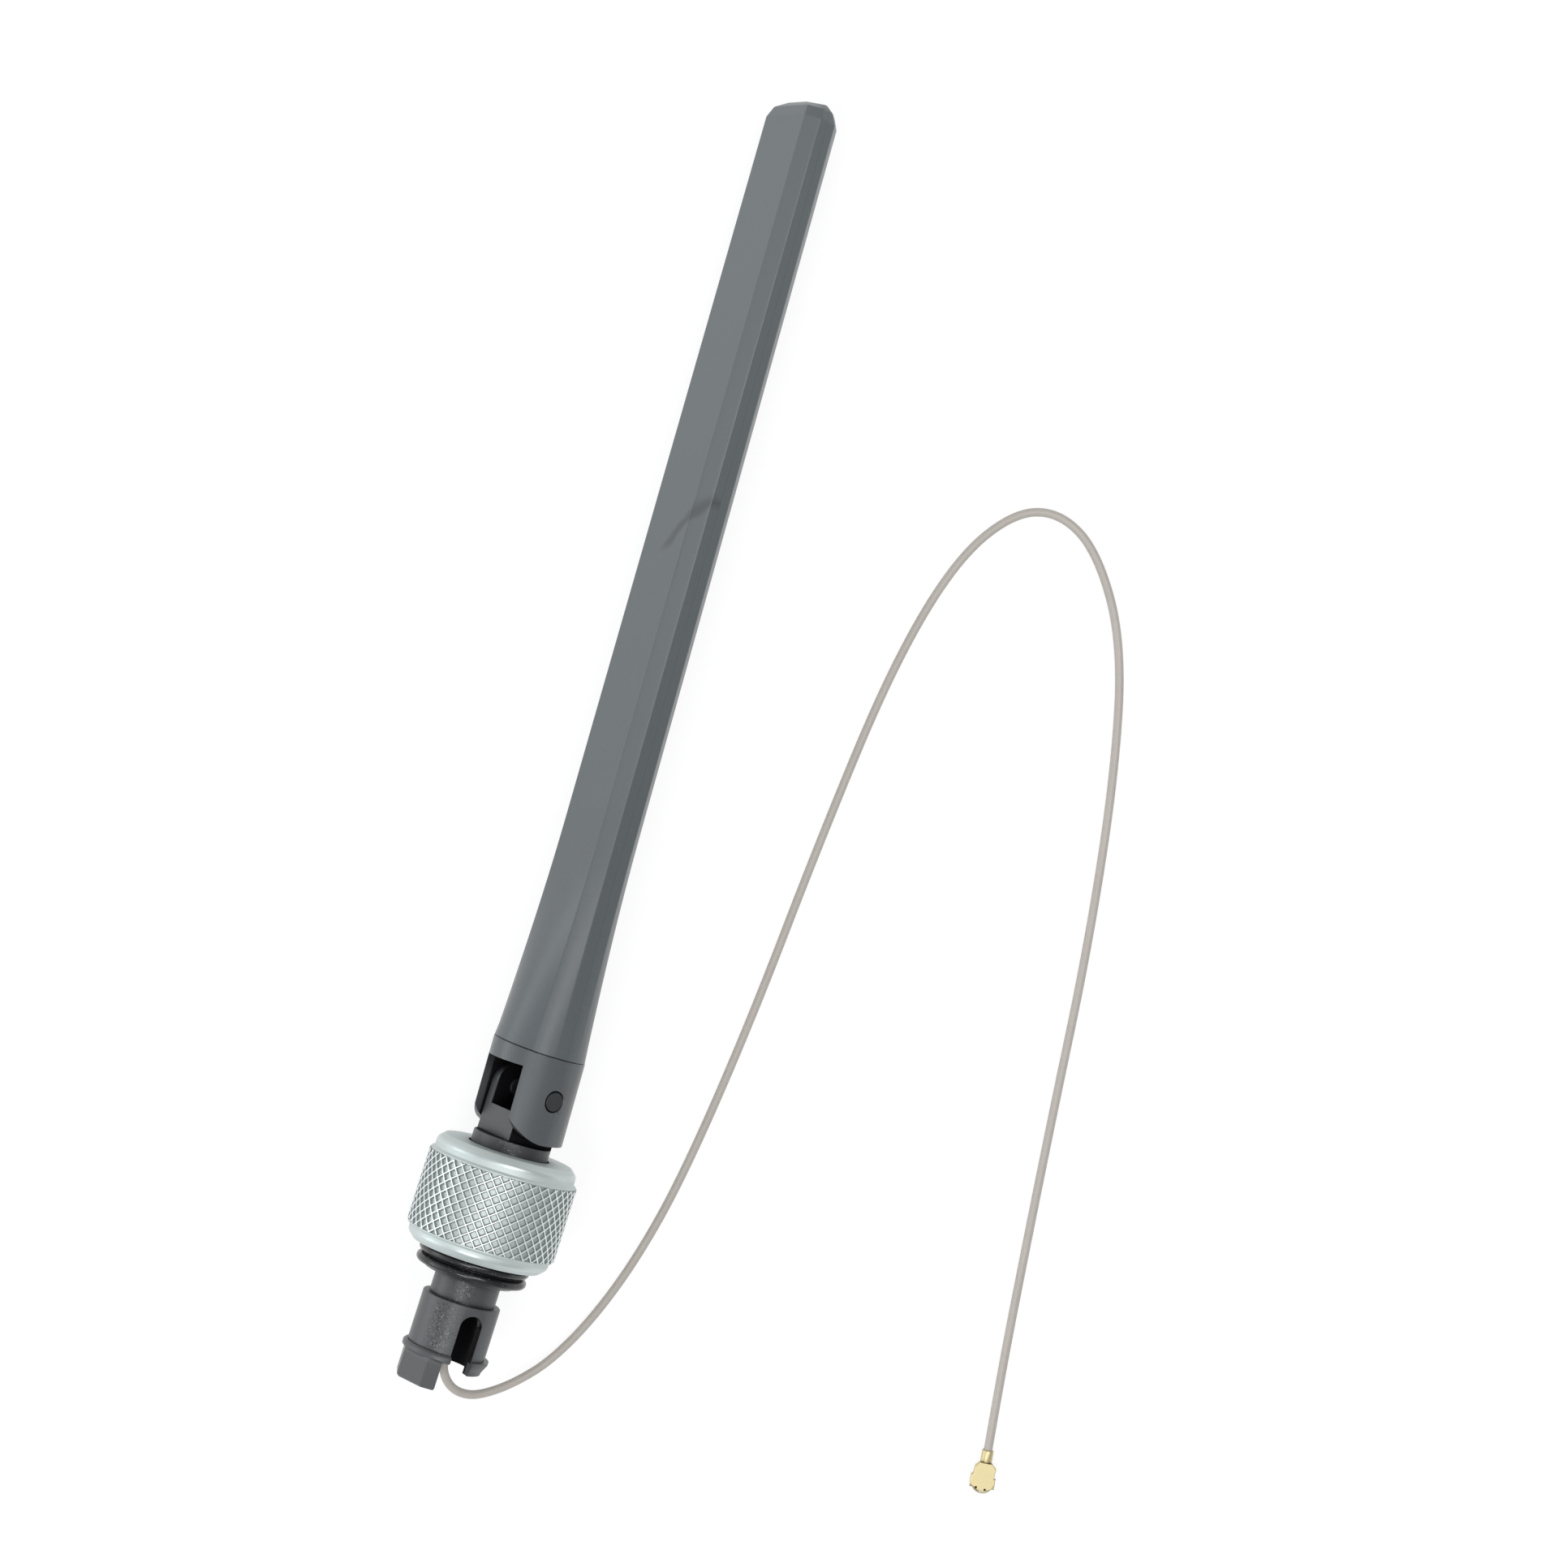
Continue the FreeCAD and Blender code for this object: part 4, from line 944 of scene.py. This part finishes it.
def octagon(wide, thick, leg_wide, leg_thick):
    """Corners of the flat section, from the +X side round."""
    a = wide / 2
    b = thick / 2
    quarter = [(a, b - leg_thick), (a - leg_wide, b)]
    half = quarter + [(-x, y) for x, y in reversed(quarter)]
    return [Vector((x, y)) for x, y in half + [(-x, -y) for x, y in half]]


def rod_section(share, corners):
    """Points of a section between the round base (share 0) and an octagon (share 1)."""
    points = []
    for side in range(8):
        first = BASE_TURNS[side]
        last = BASE_TURNS[(side + 1) % 8]
        sweep = (last - first) % 360
        for step in range(SIDE_STEPS[side]):
            part = step / SIDE_STEPS[side]
            turn = math.radians(first + sweep * part)
            on_round = Vector((math.cos(turn), math.sin(turn))) * ROD_R
            on_flat = corners[side].lerp(corners[(side + 1) % 8], part)
            points.append(on_round.lerp(on_flat, share))
    return points


def rod_stations():
    """Where the rod's sections lie along its axis, each with its share and its corners."""
    blend = octagon(WIDE_AT_BLEND, THICK_AT_BLEND, LEG_WIDE, LEG_THICK)
    tip = octagon(WIDE_AT_TIP, THICK_AT_TIP, LEG_WIDE, LEG_THICK)
    shoulder = octagon(
        WIDE_AT_TIP - 2 * TIP_ROUND_WIDE, THICK_AT_TIP - 2 * TIP_ROUND_THICK, LEG_WIDE, LEG_THICK
    )
    cap = octagon(
        WIDE_AT_TIP - 2 * TIP_BEVEL_WIDE,
        THICK_AT_TIP - 2 * TIP_BEVEL_THICK,
        TIP_LEG_WIDE,
        TIP_LEG_THICK,
    )
    stations = []
    for step in range(BLEND_STEPS + 1):
        part = step / BLEND_STEPS
        share = math.sin(math.pi / 2 * part)
        stations.append((ROD_BASE + BLEND_LENGTH * part, share, blend))
    straight_end = ROD_BASE + ROD_LENGTH - TIP_BEVEL_LENGTH
    straight_start = ROD_BASE + BLEND_LENGTH
    for step in range(1, STRAIGHT_STEPS + 1):
        part = step / STRAIGHT_STEPS
        corners = [a.lerp(b, part) for a, b in zip(blend, tip)]
        stations.append((straight_start + (straight_end - straight_start) * part, 1.0, corners))
    stations.append((ROD_BASE + ROD_LENGTH - TIP_ROUNDING, 1.0, shoulder))
    stations.append((ROD_BASE + ROD_LENGTH, 1.0, cap))
    return stations


def rod_shape():
    """The rod's skin: its base ring is extruded along, and each ring is set to its section."""
    stations = rod_stations()
    base_end, base_share, base_corners = stations[0]
    shape = bmesh.new()
    ring = [shape.verts.new((p.x, p.y, base_end)) for p in rod_section(base_share, base_corners)]
    edges = [shape.edges.new((a, b)) for a, b in zip(ring, ring[1:] + ring[:1])]
    for station, share, corners in stations[1:]:
        grown = bmesh.ops.extrude_edge_only(shape, edges=edges)["geom"]
        edges = [g for g in grown if isinstance(g, bmesh.types.BMEdge) and g.is_boundary]
        previous = {vert: number for number, vert in enumerate(ring)}
        ring = [None] * len(ring)
        for vert in [g for g in grown if isinstance(g, bmesh.types.BMVert)]:
            for edge in vert.link_edges:
                other = edge.other_vert(vert)
                if other in previous:
                    ring[previous[other]] = vert
        for vert, point in zip(ring, rod_section(share, corners)):
            vert.co = (point.x, point.y, station)
    shape.faces.new(ring)
    shape.verts.ensure_lookup_table()
    bmesh.ops.recalc_face_normals(shape, faces=shape.faces[:])
    round_edges(shape, 9.0, RIDGE_SOFTENING, 4)
    mouth = [e for e in shape.edges if e.is_boundary]
    inner = bmesh.ops.extrude_edge_only(shape, edges=mouth)["geom"]
    for vert in [g for g in inner if isinstance(g, bmesh.types.BMVert)]:
        vert.co.x *= MOUTH_SHARE
        vert.co.y *= MOUTH_SHARE
    return shape


ROD_COLOUR = (0.090, 0.102, 0.107)
LIT_TIP_COLOUR = (0.112, 0.126, 0.131)
TIP_FADE = (30.0, 120.0)
STREAK_COLOUR = (0.03, 0.034, 0.037)
STREAK_DARK = 0.5
STREAK_CENTRE = 71.6
STREAK_SLANT = 0.68
STREAK_SIDE = 0.6
STREAK_WOBBLE = 1.2
STREAK_HALF = (1.1, 0.2)
STREAK_MIDDLE = 75.2
STREAK_ENDS = (4.6, 2.8)
SEAM_HALF = 0.035
SEAM_DARK = 0.25
rod_plastic, tree, skin, body = plastic("rod_plastic", ROD_COLOUR, 0.33, drift=0.10)
place = tree.nodes.new("ShaderNodeTexCoord").outputs["Object"]
local = shader(tree, "ShaderNodeSeparateXYZ", Vector=in_frame(tree, rod_place)).outputs


def soft_step(value, start, full):
    """A share of the streak that rises smoothly between two values in millimetres."""
    step = shader(tree, "ShaderNodeMapRange", Value=value, From_Min=start * MM, From_Max=full * MM)
    step.interpolation_type = "SMOOTHSTEP"
    return step.outputs["Result"]


# A soft dark streak runs slantwise from the wide face over the ridge.
along = maths(tree, "SUBTRACT", local["Z"], STREAK_CENTRE * MM)
slant = maths(tree, "MULTIPLY_ADD", along, STREAK_SLANT, STREAK_SIDE * MM)
wobble = shader(tree, "ShaderNodeTexNoise", Vector=place, Scale=420.0, Detail=1.0)
wobble_mm = maths(tree, "MULTIPLY_ADD", wobble.outputs["Fac"], STREAK_WOBBLE * MM, -STREAK_WOBBLE / 2 * MM)
across = combined(tree, "ADD", [slant, local["X"], wobble_mm])
distance = maths(tree, "ABSOLUTE", across)
middle = maths(tree, "SUBTRACT", local["Z"], STREAK_MIDDLE * MM)
reach = maths(tree, "ABSOLUTE", middle)
upper_side = maths(tree, "GREATER_THAN", local["Y"], 0.0)
streak_parts = [soft_step(distance, *STREAK_HALF), soft_step(reach, *STREAK_ENDS), upper_side]
dark_streak = combined(tree, "MULTIPLY", streak_parts)
streak_level = maths(tree, "MULTIPLY", dark_streak, STREAK_DARK)
# The mould's parting line runs along the middle of both narrow sides.
from_seam = maths(tree, "ABSOLUTE", local["Y"])
seam = shader(
    tree,
    "ShaderNodeMapRange",
    Value=from_seam,
    From_Min=SEAM_HALF * 2 * MM,
    From_Max=SEAM_HALF * MM,
)
seam_level = maths(tree, "MULTIPLY", seam.outputs["Result"], SEAM_DARK)
darker = combined(tree, "MAXIMUM", [streak_level, seam_level])
# Painted light: the rod grows paler towards its tip, as it stands in more light there.
towards_tip = shader(
    tree,
    "ShaderNodeMapRange",
    Value=local["Z"],
    From_Min=TIP_FADE[0] * MM,
    From_Max=TIP_FADE[1] * MM,
)
paler = mixed_colour(tree, towards_tip.outputs["Result"], skin.outputs["Colour"], LIT_TIP_COLOUR)
toned = mixed_colour(tree, darker, paler, STREAK_COLOUR)
tree.links.new(toned, body.inputs["Base Color"])
jointed(tree, body)
rod_skin = rod_shape()
bmesh.ops.transform(rod_skin, matrix=rod_place_mm, verts=rod_skin.verts[:])
tilt_parting(rod_skin, PARTING - 0.1, PARTING + 0.3)
rod_piece = finished("rod", rod_skin, rod_plastic, "rod", 60.0)
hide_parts("radome_shell")

# Inside the rod: a coated glass-fibre board with etched copper arms, soldered to the bared end
# of the lead. It stands on the knuckle's spigot, and a foam pad holds its far end.
board_green = plastic("board_laminate", (0.02, 0.09, 0.035), 0.35, grain_depth=2.0e-6)[0]
keep_node("antenna_board", board_green)
pad_foam = plastic("pad_foam", (0.03, 0.03, 0.032), 0.9, grain_depth=4.0e-5, grain_scale=2500.0)[0]
keep_node("board_pad", pad_foam)
copper = satin_metal("board_copper", (0.80, 0.42, 0.24), 0.3)[0]
for node in ("radiator_lower", "radiator_upper"):
    keep_node(node, copper)
solder = satin_metal("solder_metal", (0.72, 0.73, 0.74), 0.22)[0]
for node in ("shield_solder", "feed_solder"):
    keep_node(node, solder)
braid = satin_metal("lead_braid", (0.66, 0.65, 0.62), 0.4)[0]
keep_node("coax_braid_end", braid)
wire = satin_metal("lead_conductor", (0.80, 0.77, 0.70), 0.25)[0]
keep_node("coax_conductor_end", wire)
dielectric = plastic("lead_dielectric", (0.80, 0.80, 0.78), 0.3, grain_depth=1.0e-6)[0]
keep_node("coax_dielectric_end", dielectric)

# Lead: a thin coaxial cable with a smooth warm-grey jacket. One length runs through the base,
# over the fold and into the rod, bent there to the rod's resting fold.
LEAD_D = 1.13
LEAD_COLOUR = (0.43, 0.395, 0.355)
lead_jacket = plastic("lead_jacket", LEAD_COLOUR, 0.42, drift=0.10, grain_depth=3.0e-6)[0]
LEAD_OFFSET = 0.27
INNER_LOW = -28.4
INNER_HIGH = 44.0
FOLD_REACH = 3.0


def inner_lead_shape():
    """A straight tube through the base and the rod, with close rings where it bends."""
    shape = bmesh.new()
    bmesh.ops.create_circle(shape, segments=20, radius=LEAD_D / 2)
    bmesh.ops.translate(shape, verts=shape.verts[:], vec=(0, LEAD_OFFSET, INNER_LOW))
    edges = shape.edges[:]
    stations = [INNER_LOW, -12.0, -FOLD_REACH]
    stations += [-FOLD_REACH + FOLD_REACH * step / 8 for step in range(1, 17)]
    stations += [12.0, 28.0, INNER_HIGH]
    for low, high in zip(stations, stations[1:]):
        grown = bmesh.ops.extrude_edge_only(shape, edges=edges)["geom"]
        verts = [g for g in grown if isinstance(g, bmesh.types.BMVert)]
        edges = [g for g in grown if isinstance(g, bmesh.types.BMEdge) and g.is_boundary]
        bmesh.ops.translate(shape, verts=verts, vec=(0, 0, high - low))
    bmesh.ops.holes_fill(shape, edges=[e for e in shape.edges if e.is_boundary], sides=0)
    return shape


inner_shape = inner_lead_shape()
for vert in inner_shape.verts:
    share = min(1.0, max(0.0, (vert.co.z + FOLD_REACH) / (2 * FOLD_REACH)))
    turn = REST_FOLD * share * share * (3 - 2 * share)
    vert.co = Matrix.Rotation(turn, 3, "X") @ vert.co
bmesh.ops.transform(inner_shape, matrix=foot_place_mm, verts=inner_shape.verts[:])
bmesh.ops.recalc_face_normals(inner_shape, faces=inner_shape.faces[:])
inner_lead = placed("lead_inside", inner_shape, lead_jacket, 40.0)
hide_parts("coax_base_run", "coax_rod_run")
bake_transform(inner_lead)

# The free lead leaves the foot through its grommet, turns back past the barb, climbs down to
# the surface and lies there in one tall loop, with its plug at the far end.
LEAD_ROUTE = [
    (-0.204, -74.989, 11.029),
    (-0.204, -77.784, 11.196),
    (-0.05, -80.19, 11.0),
    (0.1, -82.54, 10.5),
    (0.85, -84.54, 9.7),
    (2.35, -85.99, 8.6),
    (4.6, -86.34, 7.4),
    (7.05, -85.29, 6.1),
    (9.75, -83.34, 4.7),
    (12.9, -80.09, 3.0),
    (16.35, -73.89, 1.5),
    (19.55, -64.89, 0.72),
    (22.2, -52.59, 0.57),
    (24.6, -30.59, 0.57),
    (26.2, -5.09, 0.57),
    (28.4, 19.41, 0.57),
    (32.2, 35.41, 0.57),
    (37.6, 43.61, 0.57),
    (43.3, 45.41, 0.57),
    (49.5, 42.01, 0.57),
    (56.2, 31.61, 0.57),
    (60.5, 14.61, 0.57),
    (63.9, -8.09, 0.57),
    (66.1, -31.09, 0.57),
    (68.6, -54.59, 0.57),
    (69.85, -65.59, 0.86),
    (71.07, -74.78, 0.86),
]
lead_curve = bpy.data.curves.new("free_lead", "CURVE")
lead_curve.dimensions = "3D"
spline = lead_curve.splines.new("NURBS")
spline.points.add(len(LEAD_ROUTE) - 1)
for point, (x, y, z) in zip(spline.points, LEAD_ROUTE):
    point.co = (x * MM, y * MM, z * MM, 1.0)
spline.order_u = 3
spline.use_endpoint_u = True
spline.resolution_u = 12
lead_curve.bevel_depth = LEAD_D / 2 * MM
lead_curve.bevel_resolution = 5
lead_curve.use_fill_caps = True
lead_curve.materials.append(lead_jacket)
free_lead = bpy.data.objects.new("free_lead", lead_curve)
bpy.context.scene.collection.objects.link(free_lead)
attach(free_lead, "base")
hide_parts("coax_cable")

# Plug: a gold-plated shell, stamped and folded, with a crimp barrel on the lead and a ring
# underneath that is pushed on its socket, a moulded insulator and a centre contact.
PLUG_FRONT = Vector((0.1323, -0.9912, 0.0))
PLUG_OVERLAP = 0.35
PLUG_MOUTH = Vector((*LEAD_ROUTE[-1][:2], 0.0)) - PLUG_FRONT * PLUG_OVERLAP
PLUG_AXIS = 0.86
PLUG_CUT = 0.8
COVER_TOP = 1.78
BARREL_R = 0.77
BARREL_START = 0.08
BARREL_LENGTH = 1.6
COVER_OUTLINE = (
    *((1.64, -0.80), (2.20, -1.36), (3.28, -1.46), (3.34, -1.70), (4.58, -1.72), (4.98, -1.04)),
    *((5.25, -0.57), (5.36, 0.0), (5.17, 0.68), (4.98, 1.15), (4.30, 1.53), (3.66, 1.50)),
    *((3.60, 1.30), (2.55, 1.36), (2.32, 1.42), (1.72, 0.85)),
)
COVER_SLOTS = ((4.93, -0.86), (5.08, 0.34))
SLOT_REACH = 0.16
SLOT_SHADE_COLOUR = (0.02, 0.015, 0.01)
plug_side = Vector((0, 0, 1)).cross(PLUG_FRONT)
plug_place_mm = Matrix.Scale(MM, 4) @ Matrix.Translation(PLUG_MOUTH) @ Matrix(
    (PLUG_FRONT, plug_side, Vector((0, 0, 1)))
).transposed().to_4x4()


def plug_cover():
    """The folded cover with its wings, over the crimp barrel."""
    cover = bmesh.new()
    rim = [cover.verts.new((x, y, PLUG_CUT)) for x, y in COVER_OUTLINE]
    face = cover.faces.new(rim)
    raised = bmesh.ops.extrude_face_region(cover, geom=[face])["geom"]
    for vert in [g for g in raised if isinstance(g, bmesh.types.BMVert)]:
        vert.co.z = COVER_TOP
    bmesh.ops.recalc_face_normals(cover, faces=cover.faces[:])
    round_edges(cover, 60.0, 0.16, 3)
    barrel = bmesh.new()
    bmesh.ops.create_cone(
        barrel, cap_ends=True, segments=32, radius1=BARREL_R, radius2=BARREL_R, depth=BARREL_LENGTH
    )
    middle = Matrix.Translation((BARREL_START + BARREL_LENGTH / 2, 0, PLUG_AXIS))
    lying = middle @ Matrix.Rotation(math.pi / 2, 4, "Y")
    bmesh.ops.transform(barrel, matrix=lying, verts=barrel.verts[:])
    bmesh.ops.recalc_face_normals(barrel, faces=barrel.faces[:])
    round_edges(barrel, 60.0, 0.08, 2)
    shape = joined([cover, barrel])
    bmesh.ops.transform(shape, matrix=plug_place_mm, verts=shape.verts[:])
    return shape


plug_gold, tree, skin, metal = satin_metal("plug_gold", (0.67, 0.575, 0.33), 0.46)
# Painted shade in the plug's crevices.
shaded = shaded_crevices(
    tree, skin.outputs["Colour"], reach=0.0012, closed=0.30, opened=0.85, darkest=0.25
)
place = tree.nodes.new("ShaderNodeTexCoord").outputs["Object"]
# Painted shade: the cover's two slots are not cut but painted dark, as their shade.
for x, y in COVER_SLOTS:
    slot_place = plug_place_mm @ Vector((x, y, COVER_TOP))
    offset = shader(tree, "ShaderNodeVectorMath", "DISTANCE", i0=place, i1=slot_place)
    on_slot = inside(tree, (offset.outputs["Value"],), ((0.0, SLOT_REACH),))
    shaded = mixed_colour(tree, on_slot, shaded, SLOT_SHADE_COLOUR)
tree.links.new(shaded, metal.inputs["Base Color"])
plug_plastic = plastic("plug_plastic", (0.75, 0.73, 0.66), 0.4, grain_depth=2.0e-6)[0]
ring_part = softened("plug_shell", 0.05)
bmesh.ops.bisect_plane(
    ring_part,
    geom=ring_part.verts[:] + ring_part.edges[:] + ring_part.faces[:],
    dist=1.0e-7,
    plane_co=(0, 0, PLUG_CUT * MM),
    plane_no=(0, 0, 1),
    clear_outer=True,
)
plug_piece = finished("plug_cover", joined([ring_part, plug_cover()]), plug_gold, "base")
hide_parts("plug_shell")
keep_node("plug_contact", plug_gold)
keep_node("plug_insulator", plug_plastic)
keep_node("plug_lead_end", dielectric)
